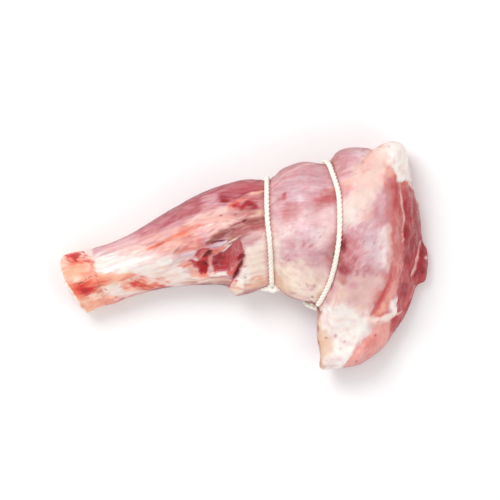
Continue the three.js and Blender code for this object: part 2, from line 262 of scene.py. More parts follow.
def plan_point(s, a):
    """Plan position at station s and share a across, from -1 on the lower side to 1."""
    u, l = spline(UPPER, s), spline(LOWER, s)
    across = u - l
    width = np.maximum(np.hypot(across[..., 0], across[..., 1]), 1e-6)
    bow = np.interp((1 - a) / 2, SAWN_BOW[:, 0], SAWN_BOW[:, 1]) * np.clip(1 - s / 2, 0, 1) ** 2
    t = (a + 1) / 2
    x = mix(l[..., 0], u[..., 0], t) - bow * across[..., 1] / width
    y = mix(l[..., 1], u[..., 1], t) + bow * across[..., 0] / width
    return x, y


def round_over(d, radius):
    t = 1 - np.minimum(d / radius, 1)
    return np.sqrt(np.maximum(1 - t * t, 0))


def relief(x, y):
    h = 0.7 * np.sin(x / 9.5 + y / 14) * np.sin(y / 8.5 - x / 21)
    for width, depth, chain in GROOVES:
        d = chain_distance(chain, x, y)[0] / width
        h = h - depth * np.exp(-d * d * 1.6)
    for cx, cy, a, b, turn, height in MOUNDS:
        c, s = math.cos(turn), math.sin(turn)
        u = ((x - cx) * c + (y - cy) * s) / a
        v = ((y - cy) * c - (x - cx) * s) / b
        h = h + height * np.exp(-((u * u + v * v) ** 1.5))
    return h


def heights(s, a, x, y):
    """Heights of the top and of the underside over plan points."""
    rim, upper_r, lower_r = (np.interp(s, RIM[:, 0], RIM[:, k]) for k in (1, 2, 3))
    crown = spline(CROWN, s)
    low = mix(crown[..., 1], crown[..., 0], smooth(0, 1, -a * 1.25))
    high = mix(crown[..., 1], crown[..., 2], smooth(0, 1, a * 1.25))
    across = np.where(a < 0, low, high)
    to_upper = np.where(a >= 1, 0, chain_distance(UPPER_CHAIN, x, y)[0])
    to_lower = np.where(a <= -1, 0, chain_distance(LOWER_CHAIN, x, y)[0])
    over = round_over(to_upper, upper_r) * round_over(to_lower, lower_r)
    under = round_over(to_upper, rim * 0.9) * round_over(to_lower, rim * 0.9)
    floor = ARCH * smooth(1.5, 5, s) * (1 - smooth(7, 12, s))
    return rim + (across + relief(x, y) - rim) * over, rim + (floor - rim) * under


def station_at(x, y):
    """The section whose straight line passes through each plan point, and the share across."""
    low, high = np.full(x.shape, SLEEVE), np.full(x.shape, float(LAST))
    for _ in range(30):
        s = (low + high) / 2
        l, u = spline(LOWER, s), spline(UPPER, s)
        past = (u[:, 0] - l[:, 0]) * (y - l[:, 1]) - (u[:, 1] - l[:, 1]) * (x - l[:, 0]) > 0
        high, low = np.where(past, s, high), np.where(past, low, s)
    l, u = spline(LOWER, low), spline(UPPER, low)
    d = u - l
    t = ((x - l[:, 0]) * d[:, 0] + (y - l[:, 1]) * d[:, 1]) / (d**2).sum(1)
    return low, np.clip(t * 2 - 1, -1, 1)


# places measured on the top and on the underside of a tie, and even steps round the whole of it
TIE_PLACES, TIE_STEPS = 90, 220
FLOOR_GAP = 0.12
# how far from a tie its pull on the meat is worked out
PULL_REACH = 24


def eased(line, passes):
    """A closed line with its corners evened out."""
    for _ in range(passes):
        line = (2 * line + np.roll(line, 1, 0) + np.roll(line, -1, 0)) / 4
    return line


def tie_loop(tie):
    """The closed line of a tie's middle, drawn into the meat."""
    halves = []
    for side, key in enumerate(("over", "under")):
        chain = np.array(tie[key])
        t = np.arange(TIE_PLACES) / TIE_PLACES
        t = t if side == 0 else 1 - t
        y = mix(chain[0, 1], chain[-1, 1], 0.5 - 0.5 * np.cos(math.pi * t))
        x = np.interp(-y, -chain[:, 1], chain[:, 0])
        s, a = station_at(x, y)
        px, py = plan_point(s, a)
        halves.append(np.column_stack([x, y, heights(s, a, px, py)[side]]))
    line = eased(np.vstack(halves), 3)
    closed = np.vstack([line, line[:1]])
    run = np.concatenate([[0], np.cumsum(np.linalg.norm(np.diff(closed, axis=0), axis=1))])
    at = np.arange(TIE_STEPS) / TIE_STEPS * run[-1]
    line = eased(np.column_stack([np.interp(at, run, closed[:, k]) for k in range(3)]), 4)
    along = np.roll(line, -1, 0) - np.roll(line, 1, 0)
    out = np.column_stack([np.zeros(TIE_STEPS), along[:, 2], -along[:, 1]])
    out /= np.linalg.norm(out, axis=1)[:, None]
    line = line - out * (PINCH_DEPTH - TWINE_PROUD - TWINE_R * 0.2)
    line[:, 2] = np.maximum(line[:, 2], TWINE_R + FLOOR_GAP)
    return line


LOOPS = {name: tie_loop(tie) for name, tie in TIES.items()}


def loop_distance(p):
    """Distance from every point to the nearest tie's middle, within reach of its pull."""
    best = np.full(len(p), 1e9)
    for line in LOOPS.values():
        near = ((p > line.min(0) - PULL_REACH) & (p < line.max(0) + PULL_REACH)).all(1)
        q = p[near]
        d = np.full(len(q), 1e9)
        for a, b in zip(line, np.roll(line, -1, 0)):
            ab = b - a
            t = np.clip(((q - a) @ ab) / (ab @ ab), 0, 1)
            d = np.minimum(d, ((q - a - t[:, None] * ab) ** 2).sum(1))
        best[near] = np.minimum(best[near], np.sqrt(d))
    return best


# ---------------------------------------------------------------- meshes from grids of points


def normals_of(grid, passes=3):
    """Outward normals of a grid of closed rings, rings along the first axis, a little evened out."""
    for _ in range(passes):
        grid = (2 * grid + np.roll(grid, 1, 1) + np.roll(grid, -1, 1)) / 4
        grid = np.concatenate([grid[:1], (2 * grid[1:-1] + grid[2:] + grid[:-2]) / 4, grid[-1:]])
    along = np.gradient(grid, axis=0)
    around = np.roll(grid, -1, 1) - np.roll(grid, 1, 1)
    n = np.cross(along, around)
    return n / np.maximum(np.linalg.norm(n, axis=2), 1e-9)[..., None]


def ring_faces(rings, n):
    """Faces between closed rings of n points each."""
    j, i = np.meshgrid(np.arange(rings - 1), np.arange(n), indexing="ij")
    k = (i + 1) % n
    return np.stack([j * n + i, (j + 1) * n + i, (j + 1) * n + k, j * n + k], -1).reshape(-1, 4).tolist()


def fan_faces(first, n, middle, turn):
    """Faces from a ring to its middle point."""
    faces = []
    for i in range(n):
        a, b = first + i, first + (i + 1) % n
        faces.append((middle, b, a) if turn else (middle, a, b))
    return faces


def in_scene(name, data):
    made = bpy.data.objects.new(name, data)
    bpy.context.scene.collection.objects.link(made)
    return made


def mesh_object(name, points, faces):
    mesh = bpy.data.meshes.new(name)
    mesh.from_pydata((np.asarray(points) * MM).tolist(), [], faces)
    mesh.validate()
    mesh.polygons.foreach_set("use_smooth", [True] * len(mesh.polygons))
    mesh.update()
    return in_scene(name, mesh)


def put_attribute(obj, name, values):
    """Store a value, a vector or a colour for every point, told apart by how many numbers it has."""
    values = np.asarray(values, np.float32).reshape(len(obj.data.vertices), -1)
    kinds = {1: ("FLOAT", "value"), 3: ("FLOAT_VECTOR", "vector"), 4: ("FLOAT_COLOR", "color")}
    kind, key = kinds[values.shape[1]]
    obj.data.attributes.new(name, kind, "POINT").data.foreach_set(key, values.ravel())


def loose_spread(t):
    """Points across a section, a little closer together at the rim."""
    return 0.55 * np.sin((t - 0.5) * math.pi) + 0.9 * (t - 0.5)


def even_spread(t):
    """Points across a section, much closer together where the surface turns down at the rim."""
    return np.clip(0.97 * np.sin((t - 0.5) * math.pi) + 0.06 * (t - 0.5), -1, 1)


def section_rings(s, over, under, across):
    """Closed rings round the sections s (one row each), and the station of every point."""
    i = np.arange(over + under)
    top = i <= over
    a = np.where(top, across(i / over), across(1 - (i - over) / under))
    s = np.broadcast_to(np.asarray(s, float).reshape(len(s), -1), (len(s), len(a)))
    a = np.broadcast_to(a, s.shape)
    x, y = plan_point(s, a)
    high, low = heights(s, a, x, y)
    return np.stack([x, y, np.where(top, high, low)], -1), s


# ---------------------------------------------------------------- tissue colours, painted shade and highlights, and where they lie

# The patches of the coat are placed on the photo's grid, x to the right and y down. One step
# of it is GRID_MM of the shank, and GRID_MIDDLE is the step over the origin.
GRID_MM = 0.6
GRID_MIDDLE = (244.6, 255.5)
# the slim leg turns into the meaty end between these steps
LEG_ENDS = (276, 250)

# named colours of the tissues, and shadow, a painted shade for creases, cracks and the sides of the ties
TISSUE_AND_SHADE = {
    "milk": (250, 241, 235),
    "ivory": (247, 228, 219),
    "cream": (247, 219, 203),
    "butter": (249, 229, 212),
    "blush": (238, 198, 190),
    "peach": (252, 198, 174),
    "apricot": (251, 181, 152),
    "tan": (228, 190, 163),
    "lilac": (228, 202, 208),
    "fascia": (225, 178, 184),
    "rose": (207, 143, 146),
    "mauve": (212, 161, 168),
    "plum": (184, 98, 107),
    "coral": (236, 128, 108),
    "salmon": (246, 150, 128),
    "vermilion": (226, 92, 74),
    "scarlet": (208, 52, 58),
    "raw_red": (200, 88, 92),
    "muscle": (190, 90, 95),
    "flesh": (214, 126, 122),
    "pale_flesh": (236, 170, 160),
    "garnet": (168, 68, 76),
    "wine": (160, 68, 77),
    "blood": (172, 36, 50),
    "maroon": (104, 16, 32),
    "umber": (158, 100, 94),
    # painted shade, laid in creases, cracks and beside the ties
    "shadow": (112, 50, 62),
    "clay": (194, 124, 118),
    "rosewood": (172, 98, 96),
}
FATTY = {"milk", "ivory", "cream", "butter", "blush", "peach", "apricot", "tan"}


def tissue(name):
    return np.array(TISSUE_AND_SHADE[name], float)


def drawn_out(flow, along, across, seed):
    """Cloudy noise drawn out along the muscles, in cells of the given length and width."""
    return cloud(flow / np.array([along, across, 1]), 1, seed)


def washed(rgb, *layers):
    """The colours with washes laid over them, each a tissue and how much of it."""
    for name, weight in layers:
        rgb = mix(rgb, tissue(name), weight[:, None])
    return rgb


class Coat:
    """The colour, relief and kind of tissue at each point of a surface, laid on in patches, a few of them
    painted shade and painted highlights.

    Places and sizes are in steps of the plan grid, turns in degrees. A patch has an edge that is
    soft for so many steps to either side, a strength, a lift in mm, and a share to which it is cut
    muscle. One without a colour is relief alone. An area's edge is softer still by the coat's blur.
    """

    def __init__(self, points, flow, base):
        # outlines wander a little, so that no edge is a straight line
        stray_x = 1.5 * cloud(points, 9, 1, 2) + 0.7 * cloud(points, 2.6, 3, 2)
        stray_y = 1.5 * cloud(points, 9, 2, 2) + 0.7 * cloud(points, 2.6, 4, 2)
        self.x = points[:, 0] / GRID_MM + GRID_MIDDLE[0] + stray_x
        self.y = GRID_MIDDLE[1] - points[:, 1] / GRID_MM + stray_y
        n = len(points)
        self.rgb = np.tile(tissue(base), (n, 1))
        self.fat = np.full(n, float(base in FATTY))
        self.cut = np.zeros(n)
        self.lift = np.zeros(n)
        # patches fray and thin out lengthwise on the slim leg and all round on the meaty end
        leg = smooth(*LEG_ENDS, self.x)
        self.fray = 1.2 * mix(cloud(points, 3.6, 5), drawn_out(flow, 9, 1.6, 9), leg)
        self.thin = [
            mix(cloud(points, 4.4, 101 + k), drawn_out(flow, 12, 2.2, 111 + k), leg) for k in range(3)
        ]
        self.laid = 0
        self.blur = 1.0
        self.on_top = None

    def brushes(self):
        """The four ways to lay a patch."""
        return self.area, self.streak, self.spot, self.flecks

    def lay(self, near, weight, colour, lift, cut, even):
        self.laid += 1
        if self.on_top is not None:
            weight = weight * self.on_top[near]
        weight = weight * (1 - (1 - even) * 0.7 * smooth(-0.1, 0.6, self.thin[self.laid % 3][near]))
        if colour:
            self.rgb[near] = mix(self.rgb[near], tissue(colour), weight[:, None])
            self.fat[near] = mix(self.fat[near], float(colour in FATTY), weight)
        self.lift[near] += lift * weight
        if cut is not None:
            self.cut[near] = mix(self.cut[near], cut, weight)

    def within(self, points, margin):
        p = np.array(points, float)
        (left, low), (right, high) = p.min(0) - margin, p.max(0) + margin
        return np.flatnonzero((self.x > left) & (self.x < right) & (self.y > low) & (self.y < high))

    def area(self, colour, outline, soft=1.6, strength=1.0, lift=0.0, cut=None):
        soft = soft * self.blur
        near = self.within(outline, soft * 1.6)
        d = inside(outline, self.x[near], self.y[near]) + self.fray[near] * (soft * 0.9 + 0.5)
        self.lay(near, strength * smooth(soft, -soft, d), colour, lift, cut, 0.5 if soft > 2 else 0.85)

    def streak(self, colour, width, chain, soft=1.2, strength=1.0, lift=0.0, taper=0.5, cut=None):
        near = self.within(chain, width + soft)
        d, t = chain_distance(chain, self.x[near], self.y[near])
        half = width / 2 * (1 - taper * (2 * np.abs(t - 0.5)) ** 2) * (1 + 0.7 * self.fray[near])
        self.lay(near, strength * smooth(half + soft, half - soft, d), colour, lift, cut, 0.7)

    def spot(self, colour, at, size, turn=0.0, strength=1.0, lift=0.0, cut=None):
        near = self.within([at], max(size) * 1.5)
        dx, dy = self.x[near] - at[0], self.y[near] - at[1]
        c, s = math.cos(math.radians(turn)), math.sin(math.radians(turn))
        r = np.hypot((dx * c + dy * s) / size[0], (dy * c - dx * s) / size[1])
        self.lay(near, strength * smooth(1.45, 0.3, r + 0.45 * self.fray[near]), colour, lift, cut, 0.7)

    def flecks(self, colours, box, count, length, width, turn, strength, seed):
        """Small streaks scattered over a box, all about the same way round."""
        draw = np.random.default_rng(seed)
        for k in range(count):
            x, y = draw.uniform(box[0], box[2]), draw.uniform(box[1], box[3])
            angle = math.radians(turn + draw.normal(0, 9))
            half = length * draw.uniform(0.25, 0.75)
            bend = draw.normal(0, 0.12) * half
            c, s = math.cos(angle), math.sin(angle)
            middle = (x - s * bend, y + c * bend)
            chain = [(x - c * half, y - s * half), middle, (x + c * half, y + s * half)]
            wide = width * draw.uniform(0.5, 1.4)
            strong = strength * draw.uniform(0.5, 1.3)
            self.streak(colours[k % len(colours)], wide, chain, 0.5 + 0.45 * wide, strong, 0, 0.9)


def lay_shin(coat):
    """The slim leg: sinew and pale fat along its middle, muscle showing through on either side, with
    painted shade along the lower edge.
    """
    area, streak, spot, flecks = coat.brushes()
    coat.blur = 1.5
    # the upper side thins out from the calf's muscle to sinew at the ankle
    area("fascia", [
        (92, 240), (128, 226), (160, 206), (205, 185), (205, 215), (160, 240), (120, 256), (95, 258),
    ], 6)
    area("plum", [(128, 219), (160, 198), (200, 176), (204, 212), (176, 225), (140, 240)], 5, 0.85)
    area("plum", [(166, 204), (182, 190), (204, 178), (206, 200), (190, 210), (174, 216)], 3, 0.6)
    area("blush", [(110, 250), (150, 236), (190, 222), (212, 216), (207, 236), (182, 258), (120, 262)], 6)
    area("pale_flesh", [
        (150, 242), (180, 230), (205, 226), (206, 244), (200, 254), (181, 256), (160, 254),
    ], 4, 0.85)
    area("coral", [(168, 240), (184, 230), (200, 228), (198, 238), (180, 242)], 2.6, 0.4)
    area("flesh", [(180, 238), (200, 236), (208, 242), (196, 252), (181, 252)], 3, 0.4)
    streak("coral", 3.0, [
        (146, 250), (164, 243), (180, 235.4), (187, 231.6), (200, 228.6), (207, 226),
    ], 1.8, 0.75)
    streak("coral", 3.0, [(180, 230), (190, 225), (198, 222)], 1.8, 0.75)
    streak("peach", 3.0, [(182, 244), (192, 247), (204, 246)], 1.8, 0.6)
    area("milk", [(92, 256), (120, 254), (172, 256), (196, 262), (186, 276), (130, 276), (93, 275)], 3)
    area("cream", [(93, 276), (125, 276), (126, 280), (107, 284), (84, 302), (95, 312), (88, 300)], 3)
    streak("apricot", 6.5, [(97, 280), (108, 278), (121, 277.5), (131, 274)], 2, 0.85)
    streak("butter", 9, [(84, 301), (98, 294), (112, 287), (128, 281.5)], 2.4)
    area("ivory", [(110, 288), (132, 281), (150, 291), (128, 298), (108, 303)], 3)
    area("peach", [(88, 300), (108, 296), (121, 299), (112, 307), (92, 312)], 2.5)
    spot("salmon", (107, 301), (8, 3.2), -16, 0.7)
    streak("raw_red", 1.8, [(110, 303.5), (117, 300.5), (124, 298)], 1.0, 0.8)
    streak("milk", 1.6, [(101, 307), (108, 304.5), (114, 302.3)], 0.9, 0.8)
    spot("umber", (115.8, 296.4), (1.3, 1.0), 0, 0.8)
    area("ivory", [(128, 279), (180, 268), (215, 282), (206, 287), (164, 290), (146, 293)], 3)
    spot("coral", (129.5, 276.3), (6.2, 2.6), -8, 0.85)
    spot("vermilion", (130.5, 275.6), (2.6, 1.8), 0, 0.6)
    area("salmon", [(122, 281), (140, 277), (150, 283), (164, 286), (150, 290), (126, 289)], 2.6, 0.75)
    spot("salmon", (130.5, 276), (6, 3), -8, 0.75)
    spot("vermilion", (139.6, 284), (5.4, 2.2), 6, 0.55)
    streak("scarlet", 2.2, [(131, 283.6), (135, 283), (139, 282.8), (143, 285)], 1.0, 0.8)
    streak("scarlet", 1.8, [(141, 279), (144, 281.5), (145, 285)], 0.9, 0.7)
    spot("coral", (154, 285), (5, 2.6), 10, 0.8)
    streak("blood", 2.0, [(160, 287), (165, 288), (170, 287.8)], 0.8, 0.8)
    streak("lilac", 3.4, [(174, 261), (180, 257.6), (193, 253.6), (206, 249)], 1.6, 0.9, 0.25)
    streak("coral", 2.4, [(178, 265.6), (184, 263.6), (189, 262.2)], 1.2, 0.7)
    streak("mauve", 2.8, [(163, 268), (174, 264), (182, 261)], 1.8, 0.35)
    spot("lilac", (190, 270), (7, 2.8), -14, 0.9)
    streak("tan", 1.7, [(187, 283), (199, 280.6), (212, 278.6)], 1.0, 0.8)
    streak("salmon", 1.3, [(180, 287), (196, 282), (207, 280)], 0.8, 0.4)
    streak("coral", 2.6, [(184, 267.4), (189, 264.6), (193, 263)], 1.4, 0.8)
    # along the lower edge: muscle colour, darkened further as painted shade where the side turns down
    streak("coral", 3.0, [(84, 314), (100, 309), (121, 300.6), (141, 294)], 1.8, 0.5)
    streak("flesh", 3.8, [(141, 294.4), (165, 290.6), (190, 287.6)], 1.8, 0.75)
    streak("muscle", 3.0, [(153, 290.6), (163, 289.2), (176, 287.6)], 1.4, 0.85, 0, 0.3)
    streak("umber", 4.2, [(190, 287), (207, 285.6), (229, 285)], 1.8, 0.75)
    streak("umber", 3.0, [(218, 283), (228, 282), (234, 284)], 1.4, 0.7)
    flecks(["coral", "vermilion", "peach"], (120, 276, 168, 289), 46, 9, 1.3, 8, 0.7, 11)
    flecks(["scarlet", "vermilion"], (130, 278, 150, 287), 12, 6, 1.1, 12, 0.8, 12)
    flecks(["apricot", "coral", "tan"], (98, 275, 128, 283), 22, 10, 1.3, -10, 0.5, 13)
    flecks(["blush", "butter", "peach"], (98, 262, 182, 286), 40, 14, 1.6, -10, 0.4, 14)
    flecks(["coral", "blush", "lilac"], (168, 254, 200, 270), 20, 9, 1.2, -20, 0.5, 15)
    flecks(["rose", "tan", "umber"], (180, 279, 228, 285), 18, 12, 0.9, -4, 0.6, 16)
    flecks(["coral", "peach", "clay"], (142, 228, 206, 252), 44, 10, 1.3, -24, 0.5, 17)
    streak("coral", 5.0, [(181, 236), (190, 232), (199, 228.6)], 1.8, 0.7)
    streak("vermilion", 1.4, [(178, 236.6), (184, 233), (190, 231.4), (197, 230)], 1.0, 0.7)
    streak("raw_red", 1.2, [(182, 239), (188, 236.6), (195, 233.4)], 1.0, 0.6)
    streak("vermilion", 1.2, [(150, 248.4), (158, 245), (166, 242)], 1.0, 0.5)
    area("apricot", [(92, 271), (104, 272), (110, 276), (100, 279), (92, 279)], 1.2, 0.6)
    area("salmon", [(188, 266), (196, 268), (208, 274), (209, 278), (199, 278.6), (190, 274)], 1.0, 0.5)
    spot("salmon", (116.5, 297), (4.0, 2.0), -16, 0.6)
    spot("ivory", (158, 276), (5.0, 2.4), 10, 0.6)
    spot("apricot", (130, 290), (6.0, 2.4), -14, 0.65)
    streak("salmon", 3.0, [(198, 276), (205, 276.4), (210, 275)], 1.0, 0.55)
    streak("clay", 3.0, [(180, 283.6), (188, 283), (196, 283)], 1.2, 0.45)
    area("flesh", [(194, 237), (206, 236), (207, 246), (198, 250)], 1.2, 0.6)
    streak("coral", 4.0, [(180, 237), (187, 233.4), (193, 231)], 1.3, 0.6)
    flecks(["rose", "fascia", "wine"], (96, 205, 190, 250), 40, 15, 1.8, -30, 0.4, 18)


def lay_calf(coat):
    """The lean muscle between the leg and the first tie, and the fat below it."""
    area, streak, spot, flecks = coat.brushes()
    coat.blur = 1.7
    area("mauve", [(178, 205), (218, 184), (268, 172), (268, 292), (240, 292), (200, 240)], 5, 0.8)
    area("plum", [
        (176, 198), (205, 178), (225, 172), (268, 162), (266, 192), (240, 198), (222, 204), (196, 213),
    ], 3, 0.85)
    area("fascia", [(202, 198), (216, 193), (222, 203), (206, 209), (196, 212)], 2.4, 0.75)
    streak("clay", 6, [(179, 215), (190, 211), (204, 206.5)], 2.4, 0.75)
    area("muscle", [(222, 176), (246, 168), (266, 164), (266, 187), (247, 194), (234, 198)], 2.6, 0.65)
    area("blush", [
        (186, 222), (199, 214), (219, 205), (233, 204), (236, 210), (222, 217), (206, 222), (190, 228),
    ], 2.2)
    area("blush", [
        (206, 220), (232, 214), (250, 212), (262, 210), (262, 219), (240, 226), (222, 234), (206, 242),
    ], 2.4)
    area("clay", [
        (228, 212), (240, 207), (256, 206), (265, 208), (265, 219), (250, 220), (236, 218),
    ], 2.4, 0.75)
    spot("tan", (259, 211.6), (6, 3.4), -16, 0.7)
    area("rose", [(246, 198), (265, 195), (266, 207), (254, 206)], 2.0, 0.75)
    spot("wine", (224.2, 200), (6.8, 5.0), 8, 0.75, -0.3)
    spot("blood", (224.2, 200), (4.6, 3.6), 8, 0.7)
    streak("wine", 1.8, [(219, 198.6), (224, 199.5), (229, 196)], 1.2, 0.7)
    streak("coral", 3.2, [(230, 205.5), (238, 202), (246, 197.5)], 1.3, 0.65)
    spot("coral", (236, 205), (6.4, 3.4), 16, 0.6)
    spot("raw_red", (236.4, 205.2), (3.6, 2.6), -8, 0.7)
    streak("peach", 2.8, [(238, 201), (244, 197.5), (253, 193), (264, 188.5)], 1.2, 0.9, 0.4)
    streak("salmon", 2.0, [(243, 201), (253, 197), (264, 194)], 1.2, 0.5)
    streak("wine", 2.6, [(239, 196.5), (244, 193.8), (248, 191.5)], 1.5, 0.6)
    streak("blood", 4.0, [(240.8, 208), (246.5, 203.2), (250.8, 204.2), (255.4, 206.4)], 1.6, 0.78, -0.2)
    spot("blood", (251.3, 203.8), (4.8, 3.4), 20, 0.85)
    spot("maroon", (250.6, 204.2), (4.4, 3.0), 20, 0.5)
    spot("maroon", (224, 200.2), (4.6, 3.2), 8, 0.4)
    spot("garnet", (227, 199), (7.0, 4.0), 14, 0.5)
    area("garnet", [(238, 206), (246, 202), (256, 201), (259, 207), (250, 209), (241, 210)], 0.9, 0.5)
    area("rose", [(247, 198), (262, 194), (264, 203), (254, 202)], 1.2, 0.5)
    spot("raw_red", (253, 200), (7.0, 3.0), 0, 0.4)
    spot("raw_red", (235, 200), (4.0, 2.2), 30, 0.4)
    streak("plum", 3.4, [(208, 193), (216, 191), (224, 189)], 1.2, 0.5)
    area("plum", [(178, 201), (196, 194), (204, 202), (198, 213), (180, 221)], 1.2, 0.85)
    area("pale_flesh", [(186, 227), (206, 217), (233, 215), (233, 222), (210, 231), (192, 234)], 1.5, 0.6)
    streak("coral", 4.0, [(186, 231), (195, 227.6), (205, 225.6)], 1.4, 0.65)
    spot("blood", (236.4, 205.6), (4.0, 2.6), -8, 0.5)
    spot("umber", (241.9, 209.6), (2.0, 1.2), -20, 0.7)
    spot("umber", (220.8, 215.3), (1.4, 0.9), -35, 0.8)
    spot("umber", (236, 214), (1.5, 0.9), -30, 0.7)
    # the groove between the two muscles, painted darker along its floor: painted shade in the crease over
    # the seam's own colour
    groove = [
        (207, 242.5), (215.7, 237.8), (224.6, 232.7), (234.2, 228.8), (241, 225.4), (250.2, 222.6),
        (259.7, 219.5), (265, 217),
    ]
    streak("rosewood", 9.0, groove, 2.4, 0.8, 0, 0.7)
    streak("umber", 5.0, groove, 1.6, 0.95, -0.8, 0.6)
    streak("shadow", 1.4, [(216, 238.6), (226, 233.4), (235, 229.4), (243, 226)], 0.9, 0.5, -0.3)
    streak("rosewood", 5.0, [(232, 231), (242, 227.6), (252, 225), (262, 222)], 1.8, 0.9)
    spot("clay", (249, 237), (3.4, 3.4), 0, 0.8)
    spot("shadow", (244.7, 221.2), (3.3, 1.5), -24, 0.9, -0.3)
    streak("shadow", 1.0, [(251, 224.5), (256.5, 222.8), (260.5, 220)], 0.8, 0.75)
    area("tan", [(226, 238), (236, 233), (246, 231), (240, 236), (228, 241)], 1.6, 0.8)
    area("rose", [(238, 238), (243, 227), (264, 223), (264, 234), (254, 245), (243, 248)], 2.6, 0.9)
    area("lilac", [(241, 243), (246, 234), (253, 234), (250, 245), (244, 249)], 1.8, 0.55)
    area("ivory", [
        (247, 236), (262, 226), (268, 232), (270, 288), (246, 288), (243, 262), (244, 248),
    ], 2.6, 0.95)
    area("rose", [(243, 247), (245, 235), (254, 229), (265, 228), (262, 238), (252, 246)], 1.2, 0.65)
    area("rosewood", [
        (224, 243), (238, 229), (249, 224), (264, 221), (264, 228), (252, 231), (243, 236), (231, 245),
    ], 1.1, 0.75)
    area("butter", [(248, 250), (266, 244), (268, 276), (248, 274)], 1.8, 0.7)
    area("cream", [(246, 276), (256, 272), (270, 274), (270, 291), (250, 291), (243, 288)], 2.6, 0.9)
    area("tan", [(247, 283), (262, 281), (271, 283), (270, 290), (250, 290)], 1.8, 0.5)
    streak("coral", 1.2, [(251, 277.6), (257, 276.6), (263, 278.2)], 0.9, 0.55)
    streak("salmon", 2.8, [(262, 284.5), (268.5, 283.5)], 1.4, 0.5)
    streak("clay", 4.4, [(246, 293), (256, 291), (268, 291)], 2.0, 0.8)
    streak("apricot", 4.0, [(246, 287), (253, 285), (261, 285.6)], 1.4, 0.55)
    flecks(["wine", "fascia", "plum", "rose"], (180, 178, 266, 208), 60, 13, 1.5, -22, 0.5, 21)
    flecks(["rose", "clay", "ivory", "blush"], (184, 208, 258, 234), 60, 10, 1.1, -24, 0.45, 22)
    flecks(["umber", "rosewood", "clay"], (210, 222, 252, 238), 26, 8, 0.9, -24, 0.5, 23)
    flecks(["coral", "vermilion", "wine"], (228, 196, 258, 210), 18, 7, 1.2, -24, 0.6, 24)
    flecks(["blush", "mauve", "cream"], (246, 230, 270, 276), 24, 8, 1.6, 70, 0.22, 25)
    flecks(["tan", "salmon", "clay"], (244, 276, 270, 291), 16, 9, 1.2, -6, 0.45, 26)


